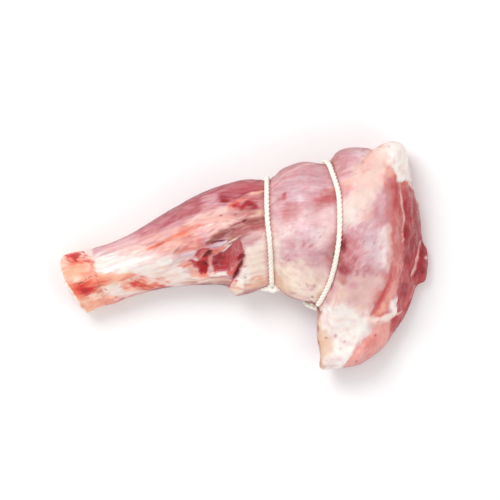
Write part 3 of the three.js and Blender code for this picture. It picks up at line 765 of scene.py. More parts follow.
def lay_torn_muscle(coat):
    """The torn place on the calf's lower side, with a cut muscle showing under its edges."""
    area, streak, spot, flecks = coat.brushes()
    coat.blur = 1.0
    face = [
        (213, 257), (218, 254), (222, 253), (232, 243.4), (240.6, 238.3), (243, 246), (244.4, 256),
        (241.5, 261), (236, 263.4), (229.5, 270.3), (220.8, 271.7), (212, 272.8),
    ]
    torn = [
        (188.9, 261), (193, 261), (196, 263), (198.6, 261), (197.6, 257.4), (195, 255), (197, 251),
        (201.7, 248.2), (207, 248.2), (211.4, 250.4), (213, 253), (209, 257), (208.4, 261),
        (208.8, 266), (207, 270), (205.8, 275), (203.6, 277.4), (201.5, 273.6), (198, 270.4),
        (194.4, 267.2), (192.4, 264),
    ]
    area("raw_red", torn, 1.0, 1.0, -1.1, 0.6)
    area("flesh", [(198, 258), (199, 251.5), (205, 249.5), (207, 252), (203, 257), (200, 260)], 1.0, 0.9)
    streak("pale_flesh", 1.8, [(198.6, 261), (200.4, 257), (202, 254)], 0.9, 0.8)
    streak("raw_red", 1.8, [(195.6, 255.4), (198.6, 251), (204, 248.6), (209, 249.4)], 0.9, 0.8)
    area("blood", [
        (197, 265), (203, 262), (208, 266), (206.5, 272), (203, 275), (199, 270),
    ], 1.3, 0.8, -0.7)
    streak("maroon", 3.4, [(203.4, 257.6), (207, 255.2), (211.6, 252.6)], 1.2, 0.95, -0.9)
    spot("maroon", (205.6, 265), (2.4, 1.9), 20, 0.8, -0.6)
    streak("scarlet", 1.4, [(189, 261), (193, 261.4), (196.5, 264)], 0.8, 0.7)
    streak("salmon", 2.0, [(202.4, 274), (204.4, 276.6), (207.4, 276)], 1.0, 0.8)
    area("muscle", face, 1.0, 1.0, -1.2, 1.0)
    area("mauve", [(229, 246), (240, 238), (243.5, 250), (241, 258), (232, 254)], 2.4, 0.4)
    area("wine", [(213, 257), (222, 253), (226, 261), (219, 268), (213, 268)], 2.2, 0.6)
    flecks(["flesh", "wine", "plum"], (214, 246, 241, 270), 30, 6, 1.0, -50, 0.4, 31)
    streak("fascia", 1.0, [(213.4, 268), (217.5, 265.6), (221.4, 267.4)], 0.7, 0.5)
    streak("fascia", 1.6, [(229, 268), (234, 263.4), (238.6, 260.4)], 1.0, 0.45)
    spot("raw_red", (226.5, 262), (5.5, 3.4), -36, 0.55)
    spot("blood", (214, 255.4), (2.6, 3.2), 0, 0.45)
    spot("salmon", (221, 248), (2.8, 2.2), -40, 0.6)
    area("coral", [(212.4, 250), (218, 249), (221, 251), (217, 254), (212.8, 255)], 1.2, 0.85)
    streak("salmon", 2.6, [(219.6, 250.6), (222.6, 247.6), (225, 245.6)], 1.0, 0.8)
    area("lilac", [
        (208.7, 245), (215.7, 242.2), (226, 239.8), (227, 241.2), (220.8, 246.2), (215.7, 247),
        (210, 246.6),
    ], 0.9, 1.0, 0.3)
    streak("milk", 1.9, [(221.6, 253), (227.2, 247.2), (232, 243)], 0.8, 1.0, 0.8, 0.7)
    streak("cream", 1.7, [(224, 246), (230, 240.8), (241.6, 235.8)], 0.8, 1.0, 0.8, 0.7)
    # painted shade in the crease along this edge
    streak("shadow", 1.7, [(210.8, 243), (218.3, 240.4), (225, 239.4)], 0.8, 0.9, -1.0)
    streak("salmon", 2.8, [(209, 256.8), (211, 262), (212.6, 268), (212.8, 275)], 1.0, 0.65, 0.8, 0.2)
    streak("cream", 2.2, [(211.6, 265), (212.9, 270), (212.6, 276)], 0.9, 0.9, 0.3, 0.2)
    area("ivory", [
        (207.6, 274.6), (220.8, 272), (229, 271.4), (230, 275), (221, 276.8), (210, 277.6),
    ], 0.9, 1.0, 0.7)
    area("flesh", [
        (228.4, 272), (236, 264), (241.4, 260.4), (240.8, 264.6), (237.4, 271), (234, 275.6),
        (229.4, 275.6),
    ], 0.9, 0.95, 0.3, 0.7)
    streak("coral", 1.6, [(230.4, 273), (234.4, 270), (238, 265)], 0.9, 0.6)
    streak("raw_red", 4.4, [(242.6, 261), (239.4, 268), (233, 274)], 1.0, 0.75, 0.6, 0.4)
    streak("blush", 3.4, [(246.4, 262), (244.6, 270), (239.6, 276.6)], 1.2, 0.8, 1.0, 0.4)
    streak("maroon", 2.2, [
        (243.3, 259.8), (242.4, 264.4), (239.2, 270.4), (235.6, 275.6), (233, 277.4),
    ], 0.7, 0.97, 1.0, 0.5)
    streak("scarlet", 1.5, [(235.4, 277.2), (231.6, 282), (230, 286)], 0.7, 0.85)
    spot("scarlet", (230.8, 286.4), (2.0, 1.8), 0, 0.9)
    streak("umber", 1.2, [(210, 279), (222, 278.4), (233, 278.6)], 0.9, 0.45, -0.4)
    streak("tan", 3.4, [(211, 281.6), (220, 280.6), (229, 279.8)], 1.2, 0.6)
    area("cream", [
        (229, 287.4), (232.4, 281), (237.4, 277), (244, 280), (245, 290), (242.6, 292), (236, 296),
        (230.6, 293.4),
    ], 1.1, 1.0, 0.8)
    area("milk", [(236, 279), (243, 268), (248, 266), (250, 276), (244, 286), (238, 285)], 1.6, 0.75)
    spot("pale_flesh", (235, 283), (4.0, 2.6), -40, 0.65)
    streak("coral", 1.1, [(232, 286.8), (238, 287), (243.6, 288.8)], 0.8, 0.6, -0.7)
    for at in [(236.8, 280.6), (244.4, 276.6), (245, 266.8)]:
        spot("raw_red", at, (1.1, 1.0), 0, 0.75)


def lay_between_ties(coat):
    """The bulge between the two ties: fascia over muscle, with fat at its lower side."""
    area, streak, spot, flecks = coat.brushes()
    coat.blur = 2.1
    area("fascia", [
        (268, 176), (300, 160), (330, 154), (342, 200), (342, 250), (325, 308), (300, 304), (268, 292),
    ], 4)
    area("rose", [
        (270, 166), (296, 151), (330, 144), (338, 186), (320, 188), (298, 190), (276, 196),
    ], 4, 0.8)
    area("mauve", [(300, 168), (329, 164), (334, 178), (310, 179), (296, 177)], 2.8, 0.7)
    area("lilac", [
        (272, 196), (286, 184), (310, 181), (330, 181), (324, 190), (306, 196), (288, 203), (272, 212),
    ], 3, 0.6)
    streak("blush", 1.3, [
        (271, 184), (283, 175.6), (293, 170), (301.6, 166), (313.4, 162.8),
    ], 0.9, 0.85, 0.25, 0.4)
    streak("lilac", 2.2, [
        (271, 189.4), (285.3, 181.8), (298, 179.2), (310.8, 178.2), (329, 178.6),
    ], 1.0, 0.95, 0.25, 0.5)
    streak("lilac", 1.4, [(295, 192.6), (302, 188.6), (308, 186.6)], 1.1, 0.7)
    streak("clay", 5, [(268, 174), (276, 170), (286, 165)], 2.0, 0.65)
    streak("clay", 4, [(320, 157), (334, 153)], 2.0, 0.7)
    area("mauve", [(268, 176), (336, 158), (338, 214), (304, 236), (272, 222)], 4, 0.45)
    streak("wine", 2.2, [(282, 199), (284, 195.6), (286, 193.2)], 1.1, 0.72, -0.2)
    spot("umber", (279, 199.2), (3.2, 1.9), -20, 0.7)
    spot("raw_red", (283.8, 197.6), (3.0, 4.2), 20, 0.75)
    spot("salmon", (281.8, 200.8), (2.2, 1.2), -20, 0.45)
    spot("rose", (286, 205.4), (3.0, 3.6), 0, 0.75)
    area("rose", [(282, 209), (290, 206), (295, 211), (292, 219), (284, 220)], 2.4, 0.72)
    spot("lilac", (297, 199.6), (8, 3.2), -14, 0.85)
    for chain in [
        [(290, 212), (298, 206), (306, 202)], [(292, 208), (299, 203.6)], [(298, 211), (307, 205.4)],
    ]:
        streak("mauve", 1.8, chain, 1.2, 0.6)
    spot("salmon", (330, 188), (4.4, 4.0), 0, 0.55)
    area("muscle", [(316, 200), (323, 191), (338, 189), (339, 200), (326, 205), (316, 209)], 2.4, 0.9)
    streak("rose", 4.4, [(311, 214), (316, 208.6), (324, 204)], 2.0, 0.75)
    area("ivory", [
        (272, 224), (290, 218), (312, 208), (334, 204), (337, 226), (326, 242), (306, 252), (272, 240),
    ], 4, 0.7)
    area("lilac", [(292, 224), (312, 220), (320, 228), (312, 240), (294, 240)], 3, 0.75)
    area("fascia", [(281, 238), (296, 234), (308, 240), (307, 254), (290, 257), (280, 250)], 3, 0.7)
    spot("mauve", (291.6, 245.4), (5.4, 4.4), 20, 0.65)
    area("ivory", [(270, 236), (281, 238), (280, 268), (271, 272)], 3, 0.7)
    area("butter", [
        (280, 264), (300, 262), (324, 272), (329, 282), (318, 304), (300, 300), (274, 292), (270, 268),
    ], 4, 0.95)
    spot("mauve", (316.4, 255.6), (7.5, 6.5), -20, 0.75)
    # painted shadow along the left side of the second tie
    area("umber", [
        (328, 238), (336, 234), (337, 246), (335, 262), (328, 266), (324, 256), (327, 248),
    ], 3, 0.62)
    spot("shadow", (332.4, 257), (2.2, 4.0), 8, 0.75)
    spot("rose", (329, 266), (3.6, 4.0), 10, 0.6)
    area("tan", [(272, 274), (280, 272), (286, 284), (296, 294), (286, 297), (273, 291)], 2.6, 0.55)
    streak("cream", 6, [(285, 294), (298, 299), (308, 303)], 2.6, 0.6)
    spot("mauve", (314.2, 286), (2.6, 2.6), 0, 0.7)
    for chain in [
        [(287.6, 290.8), (292, 292), (296, 294)], [(289, 293.4), (293, 295)],
        [(306, 282), (307.5, 287)],
    ]:
        streak("umber", 0.8, chain, 0.7, 0.6)
    area("ivory", [(309, 292), (316, 286), (327, 291), (326, 302), (319, 308), (310, 304)], 1.6, 0.9, 0.9)
    spot("umber", (311, 297), (1.5, 1.7), 20, 0.55)
    # painted shadow in the crease beside the second tie's knot
    streak("shadow", 1.8, [(306.4, 303), (311.7, 306.4), (316, 310.5), (319.4, 314)], 0.8, 0.85, -1.2)
    streak("wine", 1.4, [(309, 302), (314, 307), (319.4, 310)], 0.8, 0.65)
    area("rose", [(278, 208), (294, 206), (300, 218), (286, 224)], 2.6, 0.85)
    area("mauve", [(306, 208), (322, 203), (326, 212), (312, 218)], 2.6, 0.65)
    streak("clay", 4.0, [(262, 292), (272, 293), (288, 298), (303, 304)], 2.0, 0.7)
    area("clay", [(317, 200), (323, 189), (333, 187), (334, 198), (322, 208), (315, 211)], 1.2, 0.5)
    spot("clay", (326, 261), (4.4, 5.4), 0, 0.5)
    area("fascia", [
        (288, 224), (298, 217), (322, 213), (335, 215), (331, 226), (312, 231), (294, 233),
    ], 1.6, 0.55)
    spot("rose", (277, 199.4), (5.0, 3.0), -20, 0.5)
    area("tan", [(268, 278), (280, 276), (284, 290), (270, 292)], 1.4, 0.6)
    streak("apricot", 3.0, [(270, 288), (277, 288.4), (285, 292)], 1.2, 0.4)
    spot("butter", (320.6, 291), (4.6, 4.6), 0, 0.75)
    flecks(["mauve", "lilac", "rose"], (272, 176, 330, 216), 60, 9, 1.3, -24, 0.4, 41)
    flecks(["mauve", "ivory", "plum"], (282, 226, 326, 262), 70, 4, 1.1, -40, 0.4, 42)
    flecks(["tan", "cream", "clay"], (274, 262, 326, 298), 40, 4, 1.1, 30, 0.35, 43)


def lay_thick_end(coat):
    """The thick end past the second tie, up to the edge of the cut."""
    area, streak, spot, flecks = coat.brushes()
    coat.blur = 2.0
    area("fascia", [
        (326, 156), (372, 146), (394, 160), (394, 290), (370, 330), (322, 312), (337, 250), (340, 200),
    ], 4)
    area("mauve", [(326, 150), (341, 139), (372, 135), (368, 158), (348, 166), (334, 174)], 2.6, 0.95)
    area("rose", [(328, 153), (341, 148), (348, 158), (344, 170), (334, 172)], 2.0, 0.85)
    streak("rose", 4, [(336, 153), (346, 149), (358, 146.6)], 2.0, 0.6)
    spot("lilac", (359, 154), (8, 4.4), -6, 0.75)
    streak("blush", 2.6, [(341, 171.4), (351, 168.4), (361, 166)], 1.2, 0.8)
    streak("rose", 3.6, [(337, 176), (344, 174), (352, 172)], 1.4, 0.75)
    # the pale band of fat that runs from the cap down to the tie, brightened in part as a painted highlight
    area("cream", [
        (350, 190), (354, 170), (364, 160), (378, 147), (388, 149), (391, 170), (386, 186), (368, 190),
        (358, 200),
    ], 2.8, 0.95)
    area("milk", [(374, 166), (388, 158), (390, 172), (378, 184), (366, 188)], 3, 0.6)
    area("peach", [(369, 152), (378, 146), (386, 146), (384, 156), (374, 160)], 1.8, 0.7)
    streak("flesh", 3.2, [(372.4, 149.4), (368, 156), (361.6, 163.6)], 1.3, 0.85, -0.5)
    streak("umber", 1.2, [(372, 151.4), (369.6, 155.4)], 0.8, 0.6)
    spot("peach", (355.6, 173.4), (4.6, 3.8), 0, 0.5)
    spot("cream", (345, 181.4), (7, 3.4), -8, 0.8)
    area("flesh", [(341, 184), (351, 184), (352, 192), (343, 195)], 1.6, 0.45)
    # pale fat at the band's lower end, with a painted highlight on it
    area("milk", [
        (343, 204), (350, 196), (361, 192), (366, 200), (360, 214), (356, 228), (343, 228),
    ], 2.6, 0.92)
    area("mauve", [(387, 172), (396, 172), (394, 228), (374, 230), (373, 214), (379, 196)], 4, 0.75)
    area("cream", [(360, 204), (370, 202), (371, 218), (361, 223)], 2.2, 0.7)
    band = [
        (372, 148), (386, 150), (390, 166), (382, 182), (372, 200), (362, 216), (352, 228), (343, 228),
        (345, 206), (353, 188), (362, 168),
    ]
    coat.blur = 3.2
    area("ivory", band, 1.9, 0.85)
    area("cream", [(366, 154), (388, 152), (386, 176), (368, 196), (352, 196), (356, 174)], 1.4, 0.75)
    coat.blur = 2.0
    spot("pale_flesh", (367, 216.6), (4.6, 3.8), 0, 0.4)
    area("blush", [
        (354, 190), (356, 168), (368, 151), (386, 154), (390, 172), (386, 188), (370, 192),
    ], 2.4, 0.75)
    area("pale_flesh", [(358, 166), (367, 153), (374, 154), (370, 164), (362, 174)], 1.8, 0.35)
    spot("pale_flesh", (383, 180), (5.0, 7.0), 0, 0.45)
    area("blush", [(343, 194), (352, 190), (368, 196), (368, 212), (356, 212), (344, 208)], 2.0, 0.35)
    area("pale_flesh", [(341, 180), (352, 179), (353, 190), (343, 192)], 1.0, 0.65)
    spot("clay", (332.6, 157), (4.4, 5.0), 0, 0.55)
    area("rose", [(373, 211), (384, 202), (394, 200), (392, 227), (378, 227), (372, 221)], 3.2, 0.65)
    area("mauve", [(346, 226), (372, 222), (380, 236), (362, 246), (346, 242)], 2.6, 0.7)
    area("rose", [
        (340, 232), (352, 236), (364, 248), (366, 266), (352, 278), (337, 278), (339, 250),
    ], 2.6, 0.85)
    # painted shadow along the right side of the second tie
    area("wine", [(340, 234), (346, 236), (347, 252), (340, 258)], 2.2, 0.75)
    spot("shadow", (341.6, 247.2), (2.6, 4.4), 6, 0.9)
    spot("plum", (354.4, 258.6), (5.2, 5.2), 0, 0.65)
    spot("wine", (343.4, 270.4), (6.4, 6.4), 0, 0.7)
    streak("plum", 2.2, [(345, 262), (353, 268), (358, 276)], 1.6, 0.5)
    area("lilac", [(362, 236), (378, 228), (382, 262), (366, 262)], 2.8, 0.85)
    # painted highlight: pale glare on the wet surface
    area("milk", [(378, 228), (389, 225), (391, 250), (389, 267), (379, 268), (376, 250)], 2.2, 0.75)
    spot("rose", (367, 270.6), (8, 5.4), 10, 0.75)
    spot("flesh", (383.6, 276), (6.4, 6.4), 0, 0.5)
    area("blush", [(351, 277), (375, 274), (387, 279), (380, 292), (357, 290)], 2.4, 0.75)
    area("cream", [(334, 281), (342, 279), (350, 292), (344, 306), (326, 308)], 2.6, 0.85)
    area("pale_flesh", [(366, 290), (384, 290), (380, 302), (370, 304)], 1.6, 0.6)
    area("blush", [
        (343, 288), (356, 284), (372, 290), (378, 300), (368, 322), (354, 316), (345, 306),
    ], 2.2, 0.75)
    for at, size in (((361, 307.4), 4.4), ((366, 320), 4.0), ((340, 291.5), 4.6), ((356, 296), 4.0)):
        spot("tan", at, (size, size * 0.8), 30, 0.4)
    # more painted shadow along the right side of the second tie
    spot("rosewood", (340.0, 258), (4.0, 12), 6, 0.75)
    spot("fascia", (361, 256), (6, 8), 0, 0.8)
    spot("fascia", (368.5, 262), (6.4, 5.0), 0, 0.7)
    spot("mauve", (347, 192), (4.6, 3.2), 0, 0.6)
    spot("clay", (387, 190), (4.4, 9), 8, 0.6)
    spot("clay", (341, 281.6), (5.4, 5.0), 10, 0.7)
    flecks(["mauve", "ivory", "plum"], (342, 222, 376, 276), 90, 4, 1.2, -40, 0.45, 51)
    flecks(["lilac", "ivory", "mauve"], (342, 186, 390, 270), 60, 7, 1.8, -60, 0.35, 52)
    flecks(["tan", "blush", "clay"], (340, 276, 384, 322), 50, 4, 1.2, 40, 0.35, 53)
    flecks(["rose", "lilac", "fascia"], (330, 148, 368, 176), 30, 8, 1.4, -16, 0.45, 54)


def lay_flap(coat):
    """The flap of fat that lies out at the lower right, thin and stained along its left edge."""
    area, streak, spot, flecks = coat.brushes()
    coat.blur = 1.8
    flap = [
        (315, 309), (324, 305), (350, 306), (371, 316), (372, 332), (360, 342), (350, 362), (338, 371),
        (318, 372), (314, 340),
    ]
    area("milk", flap, 3, 1.0, 0.5)
    coat.on_top = coat.level
    streak("tan", 6.4, [
        (315.6, 308), (316.4, 320), (319, 331), (319.4, 340), (320.4, 354), (321, 369),
    ], 1.6, 0.75, 0, 0)
    streak("umber", 3.4, [
        (314, 306), (314.8, 320), (317, 331), (317.4, 340), (318.8, 354), (319.4, 369),
    ], 1.2, 0.6, 0, 0)
    streak("blush", 3.0, [(322, 370), (340, 369), (352, 367)], 1.6, 0.45)
    area("tan", [(316, 332), (327, 331), (332, 343), (328, 356), (316, 356)], 2.8, 0.75)
    for colour, at in [
        ("umber", (326, 337)), ("umber", (334.8, 336)), ("rose", (344.8, 341.4)),
        ("rose", (339.8, 348)), ("tan", (326.5, 360.4)),
    ]:
        spot(colour, at, (1.4, 1.2), 0, 0.6)
    streak("blush", 2.6, [(326, 316), (336, 320), (350, 318)], 2.2, 0.4)
    streak("cream", 2.2, [(330, 328), (342, 332), (354, 326)], 2.0, 0.4)
    flecks(["blush", "tan", "ivory"], (320, 312, 364, 366), 44, 5, 1.2, 70, 0.35, 71)
    flecks(["umber", "clay", "tan"], (315, 312, 321, 366), 26, 6, 1.3, 85, 0.6, 72)
    coat.on_top = None


def lay_cut_face(coat):
    """The knife-cut end: muscles in section between seams of fat."""
    area, streak, spot, flecks = coat.brushes()
    coat.blur = 1.0
    # the first muscle comes out from under the fascia without an edge
    under_fascia = [
        (387, 166), (395, 168), (404, 182), (406, 230), (405, 262), (399, 282), (391, 300), (386, 316),
        (372, 322), (374, 300), (384, 284), (390, 262), (390, 210),
    ]
    area("flesh", under_fascia, 6.0, 0.9, 0.0, 0.6)
    muscles = [
        (394, 170), (400, 181), (409, 178), (419, 188), (427, 200), (431, 219), (432, 240), (438, 252),
        (439, 270), (433, 286), (422, 294), (414, 322), (397, 342), (391, 330), (392, 321), (396, 314),
        (399, 300), (400, 280), (402, 262), (400, 240), (396, 222), (394, 200), (392, 184),
    ]
    area("", muscles, 5.0, 1.0, -0.9)
    area("muscle", muscles, 1.6, 1.0, 0.0, 1.0)
    streak("flesh", 9.0, [(390, 170), (393, 200), (395, 236), (396, 268), (391, 296)], 4.5, 0.75, 0, 0.3)
    streak("rose", 6.0, [(387, 176), (389, 204), (390, 236), (390, 262)], 4.0, 0.5, 0, 0.3)
    area("raw_red", [(391, 178), (400, 184), (403, 206), (402, 232), (395, 232), (393, 206)], 2.2, 0.75)
    area("flesh", [(393, 214), (403, 214), (404.4, 250), (401, 270), (391, 268), (392, 240)], 2.6, 0.9)
    spot("flesh", (393.4, 178), (3.4, 7), -14, 0.7)
    spot("pale_flesh", (391.6, 172.6), (2.6, 5.0), -14, 0.8)
    spot("peach", (388.6, 171.4), (3.6, 5.0), -10, 0.7)
    spot("salmon", (403.4, 185.4), (3.4, 4.8), -20, 0.55)
    # painted highlight: the right edge of the pale glare beside the cut
    streak("blush", 5.0, [(388, 226), (389, 240), (389.2, 256), (387, 268)], 1.8, 0.75, 0, 0.3)
    spot("pale_flesh", (399, 230), (3, 8), 0, 0.45)
    # thin painted highlights along the wet cut muscle
    streak("pale_flesh", 2.0, [(398, 262), (397.4, 274)], 0.9, 0.8)
    streak("pale_flesh", 1.6, [(401.6, 254), (400.6, 270)], 0.9, 0.6)
    streak("pale_flesh", 1.4, [(394.4, 236), (394.8, 256), (393, 270)], 1.0, 0.5)
    area("raw_red", [(404, 187), (413, 189), (417, 204), (412, 208), (404, 204)], 2.0, 0.8)
    area("wine", [(405, 226), (415, 226), (416, 240), (412, 262), (404.6, 262)], 2.8, 0.75)
    area("garnet", [
        (405, 190), (414, 196), (420, 216), (421, 240), (414, 264), (406, 264), (406, 226),
    ], 3, 0.85)
    streak("coral", 3.4, [(404.4, 181.4), (407.4, 183), (410, 187)], 1.1, 0.8)
    streak("flesh", 2.8, [(419, 204), (421.6, 222), (421.8, 238)], 1.5, 0.75)
    streak("flesh", 3.0, [(407, 187), (411, 193), (414.6, 201)], 1.4, 0.6)
    streak("flesh", 3.6, [(401, 200), (403, 216), (403.4, 236)], 1.2, 0.6, 0, 0.2)
    # a painted highlight along the right muscle
    streak("flesh", 2.4, [(410, 196), (412.6, 211), (413.4, 225)], 1.3, 0.6)
    lobe = [
        (423, 237), (428, 241), (438, 248.5), (438, 270), (434, 282), (428, 288), (413.6, 286),
        (413, 276), (418.4, 262),
    ]
    area("wine", lobe, 1.2, 0.95)
    area("muscle", [(414, 276), (424, 274), (436, 278), (430, 289), (414, 288)], 1.4, 0.85)
    spot("raw_red", (420, 262), (3.4, 7), 12, 0.4)
    spot("maroon", (424, 270), (3.0, 4.6), 12, 0.3)
    spot("raw_red", (427.6, 249), (2.4, 5.4), -10, 0.6)
    spot("raw_red", (428.6, 266), (4.4, 9.0), 8, 0.5)
    spot("milk", (427, 258), (1.4, 1.9), 0, 0.85)
    # seams
    streak("blush", 2.0, [
        (399.2, 180.4), (400.4, 187.4), (402.2, 197), (403.8, 210), (404.4, 219), (403.8, 230),
    ], 0.8, 1.0, -0.3, 0.35)
    streak("blush", 1.8, [(403.2, 233), (405.2, 239), (402.2, 242.4)], 0.8, 0.95)
    streak("salmon", 1.4, [(404.4, 244), (403.6, 256), (402.4, 268)], 0.9, 0.5, -0.3)
    streak("blush", 2.2, [
        (422.4, 240.8), (420.6, 249.7), (418.8, 260.6), (416.7, 268.9), (412.9, 276),
    ], 0.9, 1.0, -0.3, 0.35)
    streak("milk", 2.2, [(409, 180.4), (414.8, 190.2), (419.3, 199.8), (422.4, 206)], 0.9, 1.0, 0.3, 0.2)
    streak("blush", 1.5, [(422.8, 206), (423.8, 222), (424.4, 240), (428, 246)], 0.8, 0.9, 0, 0)
    # the strip beside the flap, the knob of fat and its two arms
    strip = [
        (388, 276), (398, 278), (396.2, 288.3), (391, 297), (387.4, 308), (384.6, 316), (372, 321),
        (372, 313), (378, 302), (384, 290),
    ]
    area("flesh", strip, 2.6, 0.95, -0.3, 0.9)
    streak("raw_red", 1.9, [
        (391, 264), (389.6, 277), (384, 289.6), (377, 303.4), (371.3, 315),
    ], 1.2, 0.6, -0.5, 0.3)
    streak("raw_red", 2.6, [(388, 282), (381, 297), (375, 311)], 1.6, 0.4)
    streak("pale_flesh", 7.0, [(397, 280), (391, 291), (385, 303), (381, 313)], 2.0, 0.95)
    streak("blush", 3.0, [(392, 288), (387, 299), (383, 309)], 1.6, 0.5)
    streak("peach", 5.0, [(385, 303), (382, 310), (376, 315)], 1.6, 0.6)
    low_dark = [
        (400, 278), (417, 281), (423, 288), (418, 304), (413, 321), (407, 333), (396, 341),
        (391.2, 330), (392, 321.5), (395.4, 314.8), (399.5, 309), (398.7, 299),
    ]
    area("muscle", low_dark, 1.4, 0.95, 0.0, 1.0)
    area("wine", [(400.6, 282), (409, 284), (408, 297), (401, 300)], 1.8, 0.8)
    streak("flesh", 3.2, [(410, 296), (405, 312), (399, 326)], 1.6, 0.6)
    streak("blush", 3.0, [(415.6, 287), (414, 293), (411.6, 299)], 1.1, 0.6, 0.5, 0.3)
    # the dark muscle's outer edge, darkened further as painted shade where it turns down
    streak("wine", 7.0, [(419, 288), (416, 300), (413, 310), (408, 320), (402, 330)], 2.0, 0.85)
    streak("milk", 5.0, [(390.4, 304.6), (394.6, 300), (397, 297.4)], 1.4, 1.0, 1.0, 0.5)
    streak("milk", 6.0, [(391, 303), (393.6, 308.6), (392.6, 313)], 1.6, 1.0, 1.0, 0.4)
    streak("ivory", 1.8, [(392, 312), (397, 313.6), (402.4, 311.4)], 0.8, 0.95, 0.3)
    streak("ivory", 1.2, [(396, 310), (399, 315.4)], 0.8, 0.9)
    streak("cream", 6.4, [(368, 318), (376, 320), (384, 318.4), (393.7, 314)], 1.6, 1.0, 0.5, 0.3)
    streak("ivory", 2.8, [(374, 318.6), (384, 316.6), (392, 312.8)], 1.0, 0.8)
    streak("milk", 4.0, [(369, 319.4), (379, 319), (388, 316), (393, 312)], 1.4, 0.6)
    low = [
        (373, 326.4), (382.9, 321.5), (390.4, 323), (392.4, 333), (391.9, 344.4), (383.6, 355.3),
        (375.3, 364.6), (363.4, 371.6), (349.8, 374), (343, 366), (351.4, 356.3), (356.4, 347.2),
        (363, 339.7), (370.5, 335),
    ]
    area("pale_flesh", low, 1.3, 1.0, -0.5, 1.0)
    area("blush", low, 3, 0.4)
    streak("blush", 4.0, [(368, 329), (375, 325), (383, 323)], 1.6, 0.7)
    spot("flesh", (369, 344.4), (10, 6.4), -30, 0.4)
    streak("flesh", 3, [(356, 362), (366, 358), (376, 350)], 1.8, 0.4)
    spot("blush", (362, 356), (8, 4), -40, 0.5)
    streak("raw_red", 1.0, [(391.4, 326), (391.6, 332), (388, 340)], 0.9, 0.7, -0.4)
    spot("wine", (375, 335), (1.3, 1.2), 0, 0.5)
    spot("wine", (356.4, 362), (1.2, 1.1), 0, 0.45)
    streak("blush", 3.0, [
        (346, 368.6), (362, 366.6), (372.6, 361.2), (380.4, 353.6), (388.8, 343.4),
    ], 1.2, 0.7, 0.2, 0)
    # the ragged cap of fat over the top of the cut, which grows out of the skin beside it
    area("milk", [(383, 150), (392, 138), (410, 140), (408, 170), (396, 172), (388, 164)], 4.0, 0.9)
    cap = [
        (388, 142), (403, 141), (406, 148.5), (408, 155.5), (409, 165.7), (412, 171.5), (413, 181),
        (407.8, 181.6), (403.3, 179.2), (400.8, 182.8), (397.8, 181.2), (394.6, 173.6), (391.4, 167),
        (389, 160),
    ]
    area("milk", cap, 1.1, 1.0, 0.7, 0.0)
    streak("blush", 2.2, [(392, 163), (397, 160), (399, 151)], 1.8, 0.45, -0.4)
    spot("blush", (402, 172), (3.4, 3), 0, 0.4)
    streak("blush", 3.4, [(388, 143), (394, 141), (401, 142)], 1.4, 0.9)
    streak("salmon", 1.4, [(391.6, 143.4), (395, 142), (399, 143.6)], 1.0, 0.5)
    spot("milk", (412.6, 180.6), (2.0, 3.6), 0, 0.95, 0.6, 0.0)
    flecks(["wine", "flesh", "raw_red"], (393, 186, 424, 280), 70, 8, 1.2, 84, 0.3, 61)
    flecks(["wine", "flesh"], (396, 284, 414, 326), 24, 7, 1.1, 108, 0.4, 62)
    flecks(["flesh", "blush", "pale_flesh"], (352, 326, 390, 364), 44, 6, 1.2, -48, 0.3, 63)
    flecks(["milk", "blush", "cream"], (386, 142, 410, 176), 20, 6, 1.6, 70, 0.5, 64)


# ---------------------------------------------------------------- the meat

SECTIONS = 380
TOP_POINTS = 200
UNDER_POINTS = 58
MEAT_END = 30.93
# the slim leg, left of LEG_X, has this share of the sections that it would have further right
LEG_X, LEG_SHARE = -15, 0.72
# how far the meat's edge on the bone runs in and out, and how soon that fades, both in stations
RAGGED, RAGGED_FADE = 0.24, 0.5
# share of the meat's thickness by which its edge sinks to the bone, and over how many stations
EDGE_SINK, EDGE_RUN = 0.98, 0.6
# the fine relief fades out between these stations
TIP_FADE = (30.15, 29.0)
# how much a surface faces up where the top's colours begin, and where they are full
TOP_SHOWS = (-0.55, -0.05)
# the same for the marks that lie on the level part of the flap alone
LEVEL_SHOWS = (0.05, 0.45)


def section_places():
    """Stations at even steps along the shank, a little wider apart on the slim leg."""
    fine = np.linspace(SLEEVE, MEAT_END, 4000)
    u, l = spline(UPPER, fine), spline(LOWER, fine)
    step = (np.linalg.norm(np.diff(u, axis=0), axis=1) + np.linalg.norm(np.diff(l, axis=0), axis=1)) / 2
    run = np.concatenate([[0], np.cumsum(step * np.where(u[1:, 0] < LEG_X, LEG_SHARE, 1.0))])
    return np.interp(np.linspace(0, run[-1], SECTIONS), run, fine)


def flow_of(grid):
    """Distance along the muscles and round the section, in mm, for every point of the grid."""
    along = np.linalg.norm(np.diff(grid.mean(1), axis=0), axis=1)
    along = np.concatenate([[0], np.cumsum(along)])[:, None] * np.ones(grid.shape[1])
    round_step = np.linalg.norm(np.diff(grid, axis=1), axis=2)
    across = np.concatenate([np.zeros((len(grid), 1)), np.cumsum(round_step, axis=1)], axis=1)
    across = across - across[:, TOP_POINTS // 2][:, None]
    return np.stack([along, across, np.zeros_like(along)], -1)


